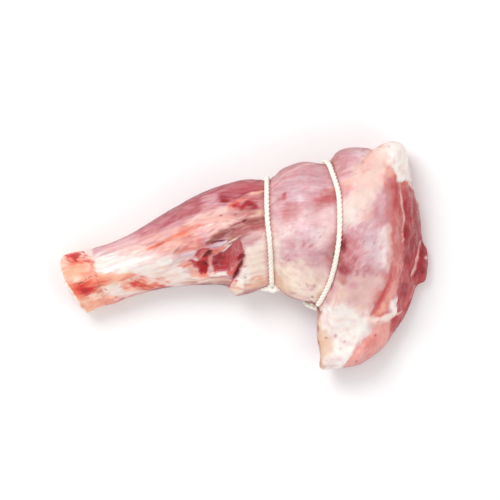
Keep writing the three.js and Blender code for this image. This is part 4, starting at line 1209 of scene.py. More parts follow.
def underside_colours(points, flow, station):
    """Colour and fat of the sides and the underside, in long bands of muscle, fascia and fat."""
    bands = drawn_out(flow, 46, 13, 31)
    patches = 0.75 * drawn_out(flow, 52, 17, 35) + 0.35 * cloud(points, 8, 38)
    rgb = np.tile(tissue("fascia"), (len(points), 1))
    fat = np.zeros(len(points))
    for colour, weight in (
        ("rose", 0.8 * smooth(0.05, 0.4, bands)),
        ("plum", 0.75 * smooth(0.22, 0.55, bands)),
        ("lilac", 0.7 * smooth(-0.1, -0.4, bands)),
        ("ivory", 0.85 * smooth(0.0, 0.5, patches)),
        ("butter", 0.6 * smooth(-0.1, -0.5, patches)),
        ("cream", 0.6 * smooth(7, 4, station)),
        ("raw_red", 0.95 * smooth(21.5, 24.5, station)),
        ("muscle", smooth(21.5, 24.5, station) * smooth(-0.2, 0.3, bands)),
    ):
        rgb = washed(rgb, (colour, weight))
        fat = mix(fat, float(colour in FATTY), weight)
    thin = smooth(5, 2.4, station)
    return mix(rgb, ankle_side(points), thin[:, None]), mix(fat, 1.0, thin)


def ankle_side(points):
    """Colour round the ankle, on the bone and on the tissue that thins out over it."""
    return washed(
        np.tile(tissue("peach"), (len(points), 1)),
        ("coral", 0.7 * smooth(0.0, 0.4, cloud(points, 11, 81))),
        ("ivory", 0.85 * smooth(0.0, 0.35, cloud(points, 14, 83))),
        ("raw_red", 0.6 * smooth(0.25, 0.5, cloud(points, 6, 84))),
    )


def to_linear(rgb):
    c = np.clip(rgb / 255, 0, 1)
    return np.where(c <= 0.04045, c / 12.92, ((c + 0.055) / 1.055) ** 2.4)


# The white studio adds this much to every wet surface, so the colour under the gloss is that much deeper.
REFLECTED = 0.052
LIT_BY = 1.02
DARKEST = 0.004


def with_alpha(rgb):
    """The colour under the gloss, in linear light."""
    deep = np.maximum((to_linear(rgb) - REFLECTED) / LIT_BY, DARKEST)
    return np.column_stack([deep, np.ones(len(rgb))])


def meat_rings():
    """Rings of points round the meat and their stations, with a ragged edge on the bone."""
    n = TOP_POINTS + UNDER_POINTS
    ragged = RAGGED * cloud(np.column_stack([np.linspace(0, 40, n)] * 3), 2.2, 41)
    ease = np.linspace(0, 1, 12)
    ragged[:12] *= ease
    ragged[-12:] *= ease[::-1]
    s = section_places()[:, None]
    s = s + ragged * np.exp(-(s - SLEEVE) / RAGGED_FADE)
    return section_rings(s, TOP_POINTS, UNDER_POINTS, even_spread)


def bell(distance, width):
    return np.exp(-((distance / width) ** 2))


def mottled(rgb, points, flow, station, fat, cut):
    """The colours made uneven as in meat: cloudy all over, streaky on the leg, paler or redder by turns."""
    rgb = rgb * (1 - cut[:, None] * np.array([0.0, 0.07, 0.07]))
    uneven = 0.035 * cloud(points, 6, 51) + 0.03 * drawn_out(flow, 7, 1.2, 55) * (1 - fat)
    leg = smooth(14, 11, station)
    coarse = mix(0.7 * cloud(points, 4.2, 58), drawn_out(flow, 10, 1.5, 59), leg)
    blush = (0.5 * cloud(points, 2.4, 57) + coarse) * (1 - 0.5 * fat - 0.2 * cut)
    return rgb * (1 + uneven)[:, None] + blush[:, None] * np.array([9, 25, 22])


def meat_relief(points, flow, station, fat, lean, cut, off_twine):
    """Height of the fine relief: what the ties press in, the grain, and fat that stands up."""
    drawn_in = PINCH_DEPTH * bell(np.maximum(off_twine - TWINE_R, 0), PINCH_WIDTH)
    bed = BED_DEPTH * bell(off_twine, BED_WIDTH) - 0.45 * bell(off_twine - 3.6, 1.5)
    pucker = 0.6 * bell(off_twine, 8) * smooth(1.5, 3, off_twine)
    return (
        -drawn_in
        - bed
        + pucker * drawn_out(flow, 15, 2.8, 61)
        + 0.34 * lean * drawn_out(flow, 27, 4.6, 64)
        + 0.09 * lean * drawn_out(flow, 9, 1.3, 67)
        + fat * (0.24 * cloud(points, 5, 71) + 0.09 * cloud(points, 2, 74))
        + 0.14 * cut * cloud(points / np.array([1.3, 5, 5]), 1, 77)
        - EDGE_SINK * SLEEVE_STEP * (1 - smooth(0, EDGE_RUN, station - SLEEVE))
    )


def make_meat():
    grid, station = meat_rings()
    normal = normals_of(grid).reshape(-1, 3)
    flow = flow_of(grid).reshape(-1, 3)
    points = grid.reshape(-1, 3)
    station = station.ravel()

    coat = Coat(points, flow, "fascia")
    coat.level = smooth(*LEVEL_SHOWS, normal[:, 2])
    for lay_part in (lay_shin, lay_calf, lay_between_ties, lay_thick_end, lay_flap, lay_cut_face):
        lay_part(coat)
    lay_torn_muscle(coat)
    lay_knuckle(coat)
    seen = smooth(*TOP_SHOWS, normal[:, 2])
    under_rgb, under_fat = underside_colours(points, flow, station)
    rgb = mix(under_rgb, coat.rgb, seen[:, None])
    fat = mix(under_fat, coat.fat, seen)
    cut = coat.cut * seen
    lean = (1 - fat) * (1 - cut) * (1 - 0.7 * smooth(13, 18, station))
    rgb = mottled(rgb, points, flow, station, fat, cut)
    # painted shade: lean meat is darkened where it turns down at the sides, as a shaded rim
    rim = smooth(0.62, 0.0, normal[:, 2]) * (1 - 0.75 * fat) * seen
    rgb = rgb * (1 - rim[:, None] * np.array([0.20, 0.34, 0.33]))
    # the twine keeps the light off the meat beside it
    off_twine = loop_distance(points)
    rgb = mix(rgb, rgb * np.array([0.84, 0.70, 0.64]), bell(off_twine, 2.6)[:, None])

    height = meat_relief(points, flow, station, fat, lean, cut, off_twine) + coat.lift * seen
    points = points + normal * (height * smooth(*TIP_FADE, station))[:, None]
    points[:, 2] = np.maximum(points[:, 2], 0)

    count, n = len(points), grid.shape[1]
    ends = np.array([points[:n].mean(0), points[-n:].mean(0)])
    caps = fan_faces(0, n, count, False) + fan_faces(count - n, n, count + 1, True)
    faces = ring_faces(SECTIONS, n) + caps
    obj = mesh_object("meat_of_the_shank", np.vstack([points, ends]), faces)
    # the tissue colour also carries the painted shade and painted highlights laid on above
    layers = {"tissue": with_alpha(rgb), "fat": fat, "lean": lean, "cut": cut, "flow": flow}
    for name, values in layers.items():
        put_attribute(obj, name, np.concatenate([values, values[[0, -1]]]))
    return obj


# ---------------------------------------------------------------- the bone

# the shaft runs on inside the meat to this station
BONE_END = 19
SHAFT_HALF_WIDTH, SHAFT_HALF_HEIGHT = 10, 9
# height of the shaft's middle line at the sawn end, at KNEE_START and from KNEE_END on
SHAFT_Z = (14.5, 16.5, 19)
KNEE_START, KNEE_END = 8, 14
# how much wider the shaft gets towards its hidden end
KNEE_SWELL = 3
# the knuckle turns into the plain shaft between these stations
KNUCKLE_ENDS = (1.5, 3.2)
BONE_HALF_RING = 90
SAW_ROWS = 26
SAWN_EDGE = 0.7
# mm between stations, and between the points of a ring, at the sawn end
STATION_MM, RING_MM = 9, 0.6
BARE_END = 2.6
BONE_TOP_SHOWS = (-0.3, 0.25)
SHARP_ANGLE = math.radians(50)


def lay_knuckle(coat):
    """The bare bone end: peach cartilage with two raw red patches, and thin tissue over it."""
    area, streak, spot, flecks = coat.brushes()
    coat.blur = 1.3
    bare = [
        (50, 250), (76, 248), (90, 246), (94.5, 258), (95.6, 266), (92, 274), (100, 278), (112, 281),
        (100, 296), (88, 320), (70, 310), (50, 270),
    ]
    area("peach", bare, 2.2)
    spot("apricot", (76, 270), (12, 8), 0, 0.85)
    streak("apricot", 4, [(66, 264), (76, 262), (88, 264)], 2, 0.6)
    spot("coral", (74, 258.6), (12, 5.6), -6, 0.9)
    spot("scarlet", (71.5, 254.4), (8.5, 4.2), -6, 0.9)
    spot("blood", (75.6, 257), (3, 3.6), 30, 0.6)
    streak("scarlet", 1.6, [(72, 262), (78, 261.4), (84, 263)], 1.2, 0.55)
    area("ivory", [(80.5, 250), (92, 245), (93, 257), (86, 260.4), (82, 257)], 1.4, 0.9)
    streak("coral", 2.8, [(82, 263), (88, 259.6), (92, 263), (93, 268), (90, 274)], 1.6, 0.7)
    area("coral", [
        (66, 281), (79, 283), (96, 276.6), (112, 278.4), (105, 287), (95, 292.4), (80, 297), (73, 292),
    ], 2.2, 0.9)
    streak("salmon", 4, [(68, 282), (73, 290), (80, 298)], 2, 0.8)
    spot("vermilion", (83, 289), (13, 5.4), -10, 0.8)
    spot("scarlet", (86, 288.6), (8.6, 4.8), -4, 0.95)
    spot("blood", (85, 289.4), (4.4, 2.6), 0, 0.75)
    streak("vermilion", 1.6, [(92, 286), (99, 283), (106, 281)], 1.2, 0.7)
    spot("umber", (97.8, 277.6), (1.4, 1.1), 0, 0.8)
    spot("umber", (101.3, 288.2), (1.0, 0.8), 0, 0.7)
    streak("butter", 7.0, [(78, 301), (86, 298.4), (98, 293.4), (112, 286.6)], 2.0, 0.6)
    streak("apricot", 5.0, [(74, 298), (82, 300), (92, 297)], 2.0, 0.5)
    area("apricot", [(79, 304), (94, 300), (104, 298), (112, 302), (96, 314), (86, 316)], 2.2, 0.8)
    spot("salmon", (103, 302.4), (9, 4.4), -14, 0.7)
    streak("raw_red", 1.4, [(100, 301), (106, 299.6), (113, 299)], 1.0, 0.6)
    flecks(["coral", "ivory", "salmon"], (60, 258, 94, 282), 44, 10, 1.1, -10, 0.5, 81)
    flecks(["scarlet", "blood", "coral"], (62, 249, 92, 262), 26, 5, 1.3, 10, 0.7, 82)
    flecks(["vermilion", "coral", "salmon"], (68, 280, 108, 297), 40, 8, 1.2, -20, 0.6, 83)
    flecks(["scarlet", "umber"], (78, 284, 106, 294), 12, 4, 0.9, -12, 0.7, 84)
    flecks(["salmon", "ivory", "peach"], (76, 298, 118, 312), 26, 9, 1.2, -22, 0.5, 85)
    spot("apricot", (100, 280.4), (7, 3.4), -12, 0.6)
    area("apricot", [(64, 272), (84, 270.6), (86, 279), (68, 281)], 1.2, 0.8)
    area("salmon", [(80, 273), (98, 271), (99, 278), (83, 279.6)], 1.1, 0.75)
    streak("coral", 3.6, [(75, 294), (81, 297.4), (88, 297)], 1.2, 0.55)
    spot("peach", (109, 297), (5.4, 2.8), -20, 0.75)
    spot("scarlet", (86, 289), (5.4, 3.4), -6, 0.75)
    spot("blood", (85.4, 290), (3, 2), 0, 0.6)
    # a crack across the cartilage, its dashes painted dark as shade
    streak("shadow", 1.1, [(78.2, 284), (80.6, 282.8), (83.4, 281.6)], 0.6, 0.95, -0.3)
    streak("umber", 0.9, [(84.6, 281), (87.4, 279.2)], 0.6, 0.9, -0.2)
    streak("shadow", 1.0, [(88.5, 278.6), (91, 277.4), (93.4, 277)], 0.6, 0.85, -0.2)
    streak("umber", 0.9, [(95, 276.6), (98.6, 275.8)], 0.6, 0.8, -0.1)
    rim = [
        (60.4, 268), (62.8, 276.8), (66.8, 285.2), (71.6, 292.8), (76.6, 300.8), (81.2, 307.6),
        (86, 312.4),
    ]
    streak("milk", 1.8, rim, 0.6, 1.0, 0, 0.3)


def bone_sections():
    """Stations along the bone: close together at the sawn edge and on the bare end, wide apart inside."""
    bare = np.linspace(0.1, BARE_END, 62)
    return np.array([0, 0.01, 0.025, 0.05, 0.08, *bare, 3.2, 4, 5, 6.5, 8, 10, 12, 14, 16, 18, BONE_END])


def bone_rings(s):
    """Rings round the bone: the shank's own form, drawn in, at the bare end, and an oval shaft inside."""
    skin, station = section_rings(s, BONE_HALF_RING, BONE_HALF_RING, loose_spread)
    out = skin - skin.mean(1, keepdims=True)
    out /= np.linalg.norm(out, axis=2, keepdims=True)
    edge = 1 - np.minimum(s * STATION_MM / SAWN_EDGE, 1)
    shrink = SLEEVE_STEP * smooth(0.4, SLEEVE, s) + SAWN_EDGE * (1 - np.sqrt(1 - edge**2))
    skin = skin - out * shrink[:, None, None]
    across = spline(UPPER, s) - spline(LOWER, s)
    across /= np.linalg.norm(across, axis=1)[:, None]
    knee = KNEE_SWELL * smooth(KNEE_END, BONE_END, s)
    first, second, last = SHAFT_Z
    rising = smooth(KNEE_START, KNEE_END, s)
    z = np.where(s < KNEE_START, mix(first, second, s / KNEE_START), mix(second, last, rising))
    mx, my = plan_point(s, np.full(len(s), 0.08))
    turn = math.pi - np.arange(2 * BONE_HALF_RING) / BONE_HALF_RING * math.pi
    wide = (SHAFT_HALF_WIDTH + knee)[:, None] * np.cos(turn)
    tall = (SHAFT_HALF_HEIGHT + knee * 0.6)[:, None] * np.sin(turn)
    x = mx[:, None] + across[:, :1] * wide
    y = my[:, None] + across[:, 1:] * wide
    shaft = np.stack([x, y, z[:, None] + tall], -1)
    return mix(skin, shaft, smooth(*KNUCKLE_ENDS, s)[:, None, None]), station


def sawn_wall(ring):
    """A grid of points over the sawn face, from the top of the ring down to its underside."""
    n = len(ring)
    i = np.arange(n // 2 + 1)
    return mix(ring[i], ring[(n - i) % n], np.linspace(0, 1, SAW_ROWS)[:, None, None])


def depth_from_edge(wall):
    """How far each point of the sawn face lies from its edge."""
    low, high = wall[-1, :, 2], wall[0, :, 2]
    edge = np.minimum(high - wall[..., 2], wall[..., 2] - low)
    for side in (wall[:, :1, :2], wall[:, -1:, :2]):
        edge = np.minimum(edge, np.linalg.norm(wall[..., :2] - side, axis=2) * 0.9)
    return edge.ravel()


def make_bone():
    s = bone_sections()
    grid, station = bone_rings(s)
    rings, n = grid.shape[:2]
    normal = normals_of(grid).reshape(-1, 3)
    points = grid.reshape(-1, 3)
    around = np.arange(n) * RING_MM + station * 0
    flow = np.stack([station * STATION_MM, around, station * 0], -1).reshape(-1, 3)
    station = station.ravel()
    coat = Coat(points, flow, "ivory")
    lay_shin(coat)
    lay_knuckle(coat)
    seen = smooth(*BONE_TOP_SHOWS, normal[:, 2])
    rgb = mix(ankle_side(points), coat.rgb, seen[:, None]) * (1 + 0.05 * cloud(points, 3.5, 85))[:, None]
    away = smooth(0, 0.15, station) * (station < BARE_END)
    height = away * (0.4 * cloud(points, 7, 87) + 0.16 * cloud(points, 2.4, 89)) + coat.lift * seen
    points = points + normal * height[:, None]
    points[:, 2] = np.maximum(points[:, 2], 0)

    wall = sawn_wall(points[:n])
    rows, columns = wall.shape[:2]
    flat = wall.reshape(-1, 3)
    edge = depth_from_edge(wall) + 0.5 * cloud(flat, 4, 91)
    face = washed(
        np.tile(tissue("ivory"), (len(flat), 1)),
        ("coral", smooth(1.0, 2.6, edge)),
        ("raw_red", 0.8 * smooth(5, 10, edge)),
        ("blush", 0.5 * smooth(0, 0.5, cloud(flat, 6, 93))),
    )
    count = len(points)
    j, i = np.meshgrid(np.arange(rows - 1), np.arange(columns - 1), indexing="ij")
    a = count + j * columns + i
    wall_faces = np.stack([a, a + 1, a + columns + 1, a + columns], -1).reshape(-1, 4).tolist()
    everything = np.vstack([points, flat, points[-n:].mean(0)])
    faces = ring_faces(rings, n) + wall_faces + fan_faces(count - n, n, len(everything) - 1, True)
    obj = mesh_object("sawn_leg_bone", everything, faces)
    put_attribute(obj, "tissue", with_alpha(np.vstack([rgb, face, rgb[-1:]])))
    put_attribute(obj, "sawn", np.concatenate([np.zeros(count), smooth(1.2, 2.2, edge), [0]]))
    weld(obj)
    return obj


def weld(obj):
    """Join the sawn face to the bone's ring, and keep its edge sharp."""
    shape = bmesh.new()
    shape.from_mesh(obj.data)
    bmesh.ops.remove_doubles(shape, verts=shape.verts, dist=0.01 * MM)
    bmesh.ops.dissolve_degenerate(shape, edges=shape.edges, dist=0.002 * MM)
    bmesh.ops.recalc_face_normals(shape, faces=shape.faces)
    for edge in shape.edges:
        edge.smooth = edge.calc_face_angle(0) < SHARP_ANGLE
    shape.to_mesh(obj.data)
    shape.free()


# ---------------------------------------------------------------- the twine

# three strands of this radius lie this far from the twine's middle line, and go once round it in LAY
STRANDS, STRAND_R, STRAND_OFF = 3, 1.0, 0.62
LAY = 9.0
PATH_STEP = 0.42
HAIR_R, HAIR_RISE, HAIR_REACH = 0.03, 0.7, 0.9
HAIRS_PER_SQUARE_METRE = 90000.0
KNOT_POINTS = 60


def feed(tree, socket, value):
    """Link an output to a socket, or set the socket to a constant."""
    if hasattr(value, "links"):
        tree.links.new(value, socket)
    else:
        socket.default_value = value


def node(tree, kind, place=None, output=0, **settings):
    """Add a node, feed its sockets, and hand back one of its outputs."""
    made = tree.nodes.new(kind)
    for key, value in settings.items():
        setattr(made, key, value)
    for key, value in (place or {}).items():
        feed(tree, made.inputs[key], value)
    return made.outputs[output]


def twine_tree(material):
    """Strands laid round a line, with loose hairs: the line comes in, a plain mesh comes out."""
    tree = bpy.data.node_groups.new("laid_twine", "GeometryNodeTree")
    face = tree.interface
    face.new_socket("Line", in_out="INPUT", socket_type="NodeSocketGeometry")
    for name, kind, value in (
        ("Lay", "NodeSocketFloat", LAY * MM),
        ("Strand radius", "NodeSocketFloat", STRAND_R * MM),
        ("Strand offset", "NodeSocketFloat", STRAND_OFF * MM),
        ("Strands", "NodeSocketInt", STRANDS),
        ("Hairs per square metre", "NodeSocketFloat", HAIRS_PER_SQUARE_METRE),
        ("Seed", "NodeSocketInt", 3),
    ):
        face.new_socket(name, in_out="INPUT", socket_type=kind).default_value = value
    face.new_socket("Twine", in_out="OUTPUT", socket_type="NodeSocketGeometry")
    given = tree.nodes.new("NodeGroupInput").outputs
    path = {"Curve": given["Line"], "Length": PATH_STEP * MM}
    line = node(tree, "GeometryNodeResampleCurve", path, mode="LENGTH")
    along = node(tree, "GeometryNodeSplineParameter", output="Length")
    turns = node(tree, "ShaderNodeMath", {0: along, 1: given["Lay"]}, operation="DIVIDE")
    tilt = node(tree, "ShaderNodeMath", {0: turns, 1: 2 * math.pi}, operation="MULTIPLY")
    tilted = node(tree, "GeometryNodeSetCurveTilt", {"Curve": line, "Tilt": tilt})
    lumps = node(tree, "ShaderNodeTexNoise", {"Scale": 260.0, "Detail": 2.0})
    thick = node(tree, "ShaderNodeMapRange", {"Value": lumps, "To Min": 0.9, "To Max": 1.1})
    ring = {"Vertices": given["Strands"], "Radius": given["Strand offset"]}
    middles = node(tree, "GeometryNodeMeshCircle", ring)
    strand_round = {"Resolution": 9, "Radius": given["Strand radius"]}
    strand = node(tree, "GeometryNodeCurvePrimitiveCircle", strand_round)
    laid = node(tree, "GeometryNodeInstanceOnPoints", {"Points": middles, "Instance": strand})
    profile = node(tree, "GeometryNodeRealizeInstances", {0: laid})
    sweep = {"Curve": tilted, "Profile Curve": profile, "Scale": thick, "Fill Caps": True}
    cord = node(tree, "GeometryNodeCurveToMesh", sweep)

    scatter = {"Mesh": cord, "Density": given["Hairs per square metre"], "Seed": given["Seed"]}
    roots = node(tree, "GeometryNodeDistributePointsOnFaces", scatter)
    top, tip = (0, 0, HAIR_RISE * MM), (HAIR_REACH * MM, 0, HAIR_REACH * MM)
    arc = {"Resolution": 4, "Start": (0, 0, 0), "Middle": top, "End": tip}
    bent = node(tree, "GeometryNodeCurveQuadraticBezier", arc)
    hair_round = node(tree, "GeometryNodeCurvePrimitiveCircle", {"Resolution": 3, "Radius": HAIR_R * MM})
    hair = node(tree, "GeometryNodeCurveToMesh", {"Curve": bent, "Profile Curve": hair_round})
    turn_range = {0: (0, 0, 0), 1: (0.7, 0.7, 6.3), "Seed": given["Seed"]}
    spin = node(tree, "FunctionNodeRandomValue", turn_range, data_type="FLOAT_VECTOR")
    rotation = {"Rotation": roots.node.outputs["Rotation"], "Rotate By": spin}
    turned = node(tree, "FunctionNodeRotateRotation", rotation, rotation_space="LOCAL")
    size = node(tree, "FunctionNodeRandomValue", {2: 0.5, 3: 1.5, "Seed": 11}, output=1, data_type="FLOAT")
    planted = {"Points": roots, "Instance": hair, "Rotation": turned, "Scale": size}
    hairs = node(tree, "GeometryNodeInstanceOnPoints", planted)
    both = tree.nodes.new("GeometryNodeJoinGeometry")
    for geometry in (hairs, cord):
        tree.links.new(geometry, both.inputs[0])
    real = node(tree, "GeometryNodeRealizeInstances", {0: both.outputs[0]})
    soft = node(tree, "GeometryNodeSetShadeSmooth", {"Geometry": real})
    done = node(tree, "GeometryNodeSetMaterial", {"Geometry": soft, "Material": material})
    tree.links.new(done, tree.nodes.new("NodeGroupOutput").inputs[0])
    return tree


def knot_line(kx, half_width, low, droop):
    """The hitch at the lower side: one turn over the tie and back, and two short tails."""
    w = half_width
    turns = [
        (-w - 3.0, -1.2, -0.3),
        (-w - 1.2, -1.3, 0.4),
        (-w * 0.55, -1.5, 1.0),
        (0.2, -2.3, 1.7),
        (w * 0.6, -1.2, 2.6),
        (w * 0.5, 0.6, 2.7),
        (-0.3, 1.0, 2.0),
        (-w * 0.7, 0.2, 0.6),
        (-w * 0.4, -1.6, -0.5),
        (0.8, -2.4, 0.0),
        (w * 0.8, -1.6, 0.8),
        (w + 1.4, -1.2, 0.6),
        (w + 3.2, -1.4, -0.2),
    ]
    p = np.array(turns) + np.array([kx, low[1] - 0.2, low[2] + 0.6])
    far = np.maximum(np.abs(p[:, 0] - kx) - w, 0)
    p += np.column_stack([0 * far, 0.9 * droop * far, -droop * far])
    return spline(p, np.linspace(0, len(p) - 1, KNOT_POINTS))


def tie_mesh(name, tree, loop, knot):
    """One tie as a plain mesh, from its closed loop and its knot."""
    curve = bpy.data.curves.new(name, "CURVE")
    curve.dimensions = "3D"
    for line, closed in ((loop, True), (knot, False)):
        path = curve.splines.new("POLY")
        path.points.add(len(line) - 1)
        path.points.foreach_set("co", np.column_stack([line * MM, np.ones(len(line))]).ravel())
        path.use_cyclic_u = closed
    made = in_scene(name, curve)
    modifier = made.modifiers.new("laid", "NODES")
    modifier.node_group = tree
    sockets = {s.name: s.identifier for s in tree.interface.items_tree if s.in_out == "INPUT"}
    # a whole number of thirds of a turn, so that the strands meet where the loop closes
    length = np.linalg.norm(np.roll(loop, -1, 0) - loop, axis=1).sum()
    modifier[sockets["Lay"]] = length / (round(length / LAY * STRANDS) / STRANDS) * MM
    bpy.context.view_layer.update()
    graph = bpy.context.evaluated_depsgraph_get()
    mesh = bpy.data.meshes.new_from_object(made.evaluated_get(graph))
    bpy.data.objects.remove(made)
    for vertex in mesh.vertices:
        vertex.co.z = max(vertex.co.z, 0.0)
    return in_scene(name, mesh)


# ---------------------------------------------------------------- materials


def shader_group(name, inputs, outputs):
    tree = bpy.data.node_groups.new(name, "ShaderNodeTree")
    for label, kind, value in inputs:
        socket = tree.interface.new_socket(label, in_out="INPUT", socket_type=kind)
        if value is not None:
            socket.default_value = value
    for label, kind in outputs:
        tree.interface.new_socket(label, in_out="OUTPUT", socket_type=kind)
    return tree, tree.nodes.new("NodeGroupInput").outputs, tree.nodes.new("NodeGroupOutput").inputs


def noise(tree, place, scale, detail, output=0):
    return node(tree, "ShaderNodeTexNoise", {"Vector": place, "Scale": scale, "Detail": detail}, output)


def cell_edges(tree, place, scale):
    """Distance to the nearest edge between cells."""
    cells = {"Vector": place, "Scale": scale}
    return node(tree, "ShaderNodeTexVoronoi", cells, "Distance", feature="DISTANCE_TO_EDGE")


def product(tree, a, b):
    return node(tree, "ShaderNodeMath", {0: a, 1: b}, operation="MULTIPLY")


def scaled(tree, vector, factor):
    return node(tree, "ShaderNodeVectorMath", {0: vector, 3: factor}, operation="SCALE")


def ramp(tree, value, low, high, to_low=0.0, to_high=1.0, **settings):
    """The value carried over from one span to another, and held at the ends."""
    place = {"Value": value, "From Min": low, "From Max": high, "To Min": to_low, "To Max": to_high}
    return node(tree, "ShaderNodeMapRange", place, **settings)


def fibre_group():
    """Long fibres: noise drawn out along one direction."""
    cell = ("Cell", "NodeSocketVector", (9, 0.8, 3))
    tree, given, out = shader_group(
        "long_fibres",
        [("Place", "NodeSocketVector", None), cell, ("Detail", "NodeSocketFloat", 3.0)],
        [("Fibre", "NodeSocketFloat")],
    )
    q = node(tree, "ShaderNodeVectorMath", {0: given["Place"], 1: given["Cell"]}, operation="DIVIDE")
    grain = noise(tree, q, 1.0, given["Detail"])
    grain.node.inputs["Roughness"].default_value = 0.6
    tree.links.new(grain, out["Fibre"])
    return tree


def marbling_group():
    """Thin wandering lines of fat between bundles of fibres."""
    cell = ("Cell", "NodeSocketVector", (3, 7, 7))
    tree, given, out = shader_group(
        "marbling",
        [("Place", "NodeSocketVector", None), cell, ("Width", "NodeSocketFloat", 0.06)],
        [("Fat line", "NodeSocketFloat")],
    )
    q = node(tree, "ShaderNodeVectorMath", {0: given["Place"], 1: given["Cell"]}, operation="DIVIDE")
    shift = scaled(tree, noise(tree, q, 1.6, 2.0, "Color"), 1.1)
    bent = node(tree, "ShaderNodeVectorMath", {0: q, 1: shift}, operation="ADD")
    edges = cell_edges(tree, bent, 1.0)
    thin = ramp(tree, edges, 0.0, given["Width"], 1.0, 0.0, interpolation_type="SMOOTHSTEP")
    shown = ramp(tree, noise(tree, q, 0.7, 2.0), 0.48, 0.62)
    tree.links.new(product(tree, thin, shown), out["Fat line"])
    return tree


def mottle_group():
    """Soft blotches and fine specks, both round a middle of one half."""
    tree, given, out = shader_group(
        "mottle",
        [("Place", "NodeSocketVector", None), ("Size", "NodeSocketFloat", 5.0)],
        [("Blotch", "NodeSocketFloat"), ("Speck", "NodeSocketFloat")],
    )
    scale = node(tree, "ShaderNodeMath", {0: 1.0, 1: given["Size"]}, operation="DIVIDE")
    q = scaled(tree, given["Place"], scale)
    tree.links.new(noise(tree, q, 1.0, 3.0), out["Blotch"])
    tree.links.new(noise(tree, q, 9.0, 2.0), out["Speck"])
    return tree


def placed(tree, group, **inputs):
    """A shader group put into a material, with its own values."""
    made = tree.nodes.new("ShaderNodeGroup")
    made.node_tree = group
    for key, value in inputs.items():
        feed(tree, made.inputs[key], value)
    return made.outputs


def millimetres(tree):
    """The place on the object, in millimetres."""
    return scaled(tree, node(tree, "ShaderNodeTexCoord", output="Object"), 1 / MM)


def attribute(tree, name, output="Fac"):
    return node(tree, "ShaderNodeAttribute", output=output, attribute_name=name)


def sum_of(tree, *terms):
    """The sum of (value, factor) pairs."""
    total = 0.0
    for value, factor in terms:
        total = node(tree, "ShaderNodeMath", {0: value, 1: factor, 2: total}, operation="MULTIPLY_ADD")
    return total


def blended(tree, a, b, factor):
    return node(tree, "ShaderNodeMix", {0: factor, 6: a, 7: b}, 2, data_type="RGBA")


def shaded(tree, colour, value, low, high):
    """The colour made darker or lighter as value goes from 0.3 to 0.7."""
    return scaled(tree, colour, ramp(tree, value, 0.3, 0.7, low, high))


def surface(name, **constants):
    """A new material, with its node tree and the sockets of its shader."""
    material = bpy.data.materials.new(name)
    material.use_nodes = True
    sockets = material.node_tree.nodes["Principled BSDF"].inputs
    for key, value in constants.items():
        sockets[key.replace("_", " ")].default_value = value
    return material, material.node_tree, sockets


def bumped(tree, sockets, height, distance, strength):
    bump = node(tree, "ShaderNodeBump", {"Height": height, "Distance": distance * MM, "Strength": strength})
    tree.links.new(bump, sockets["Normal"])


def colour_of(name):
    return (*to_linear(tissue(name)).tolist(), 1.0)


def meat_material(groups):
    material, tree, sockets = surface(
        "wet_raw_meat",
        Subsurface_Weight=0.12,
        Subsurface_Radius=(1.0, 0.35, 0.22),
        Subsurface_Scale=1.1 * MM,
        Coat_Roughness=0.12,
        Coat_IOR=1.38,
        IOR=1.4,
    )
    place, flow = millimetres(tree), attribute(tree, "flow", "Vector")
    fat, lean, cut = attribute(tree, "fat"), attribute(tree, "lean"), attribute(tree, "cut")
    fibre = placed(tree, groups["fibre"], Place=flow, Cell=(8, 0.75, 3))["Fibre"]
    strand = placed(tree, groups["fibre"], Place=flow, Cell=(20, 2.4, 3), Detail=2.0)["Fibre"]
    grain = placed(tree, groups["fibre"], Place=place, Cell=(0.8, 4.5, 4.5))["Fibre"]
    mottle = placed(tree, groups["mottle"], Place=place, Size=5.0)
    blotch, speck = mottle["Blotch"], mottle["Speck"]
    lines = placed(tree, groups["marbling"], Place=place, Cell=(3, 16, 6), Width=0.16)["Fat line"]
    # the tissue colour carries painted shade and painted highlights as well
    colour = attribute(tree, "tissue", "Color")
    for pattern, low, high, where in (
        (fibre, 0.90, 1.07, lean),
        (strand, 0.94, 1.05, lean),
        (grain, 0.91, 1.06, cut),
    ):
        colour = blended(tree, colour, shaded(tree, colour, pattern, low, high), where)
    colour = shaded(tree, colour, blotch, 0.96, 1.03)
    faint = product(tree, product(tree, lines, cut), 0.16)
    feed(tree, sockets["Base Color"], blended(tree, colour, colour_of("blush"), faint))
    feed(tree, sockets["Roughness"], sum_of(tree, (fat, 0.12), (speck, 0.16), (cut, 0.06), (1.0, 0.26)))
    feed(tree, sockets["Coat Weight"], ramp(tree, blotch, 0.38, 0.62, 0.0, 0.6))
    lean_grain, cut_grain = product(tree, fibre, lean), product(tree, grain, cut)
    height = sum_of(tree, (lean_grain, 0.6), (cut_grain, 0.9), (blotch, 0.35), (speck, 0.12), (strand, 0.3))
    bumped(tree, sockets, height, 0.45, 0.7)
    return material


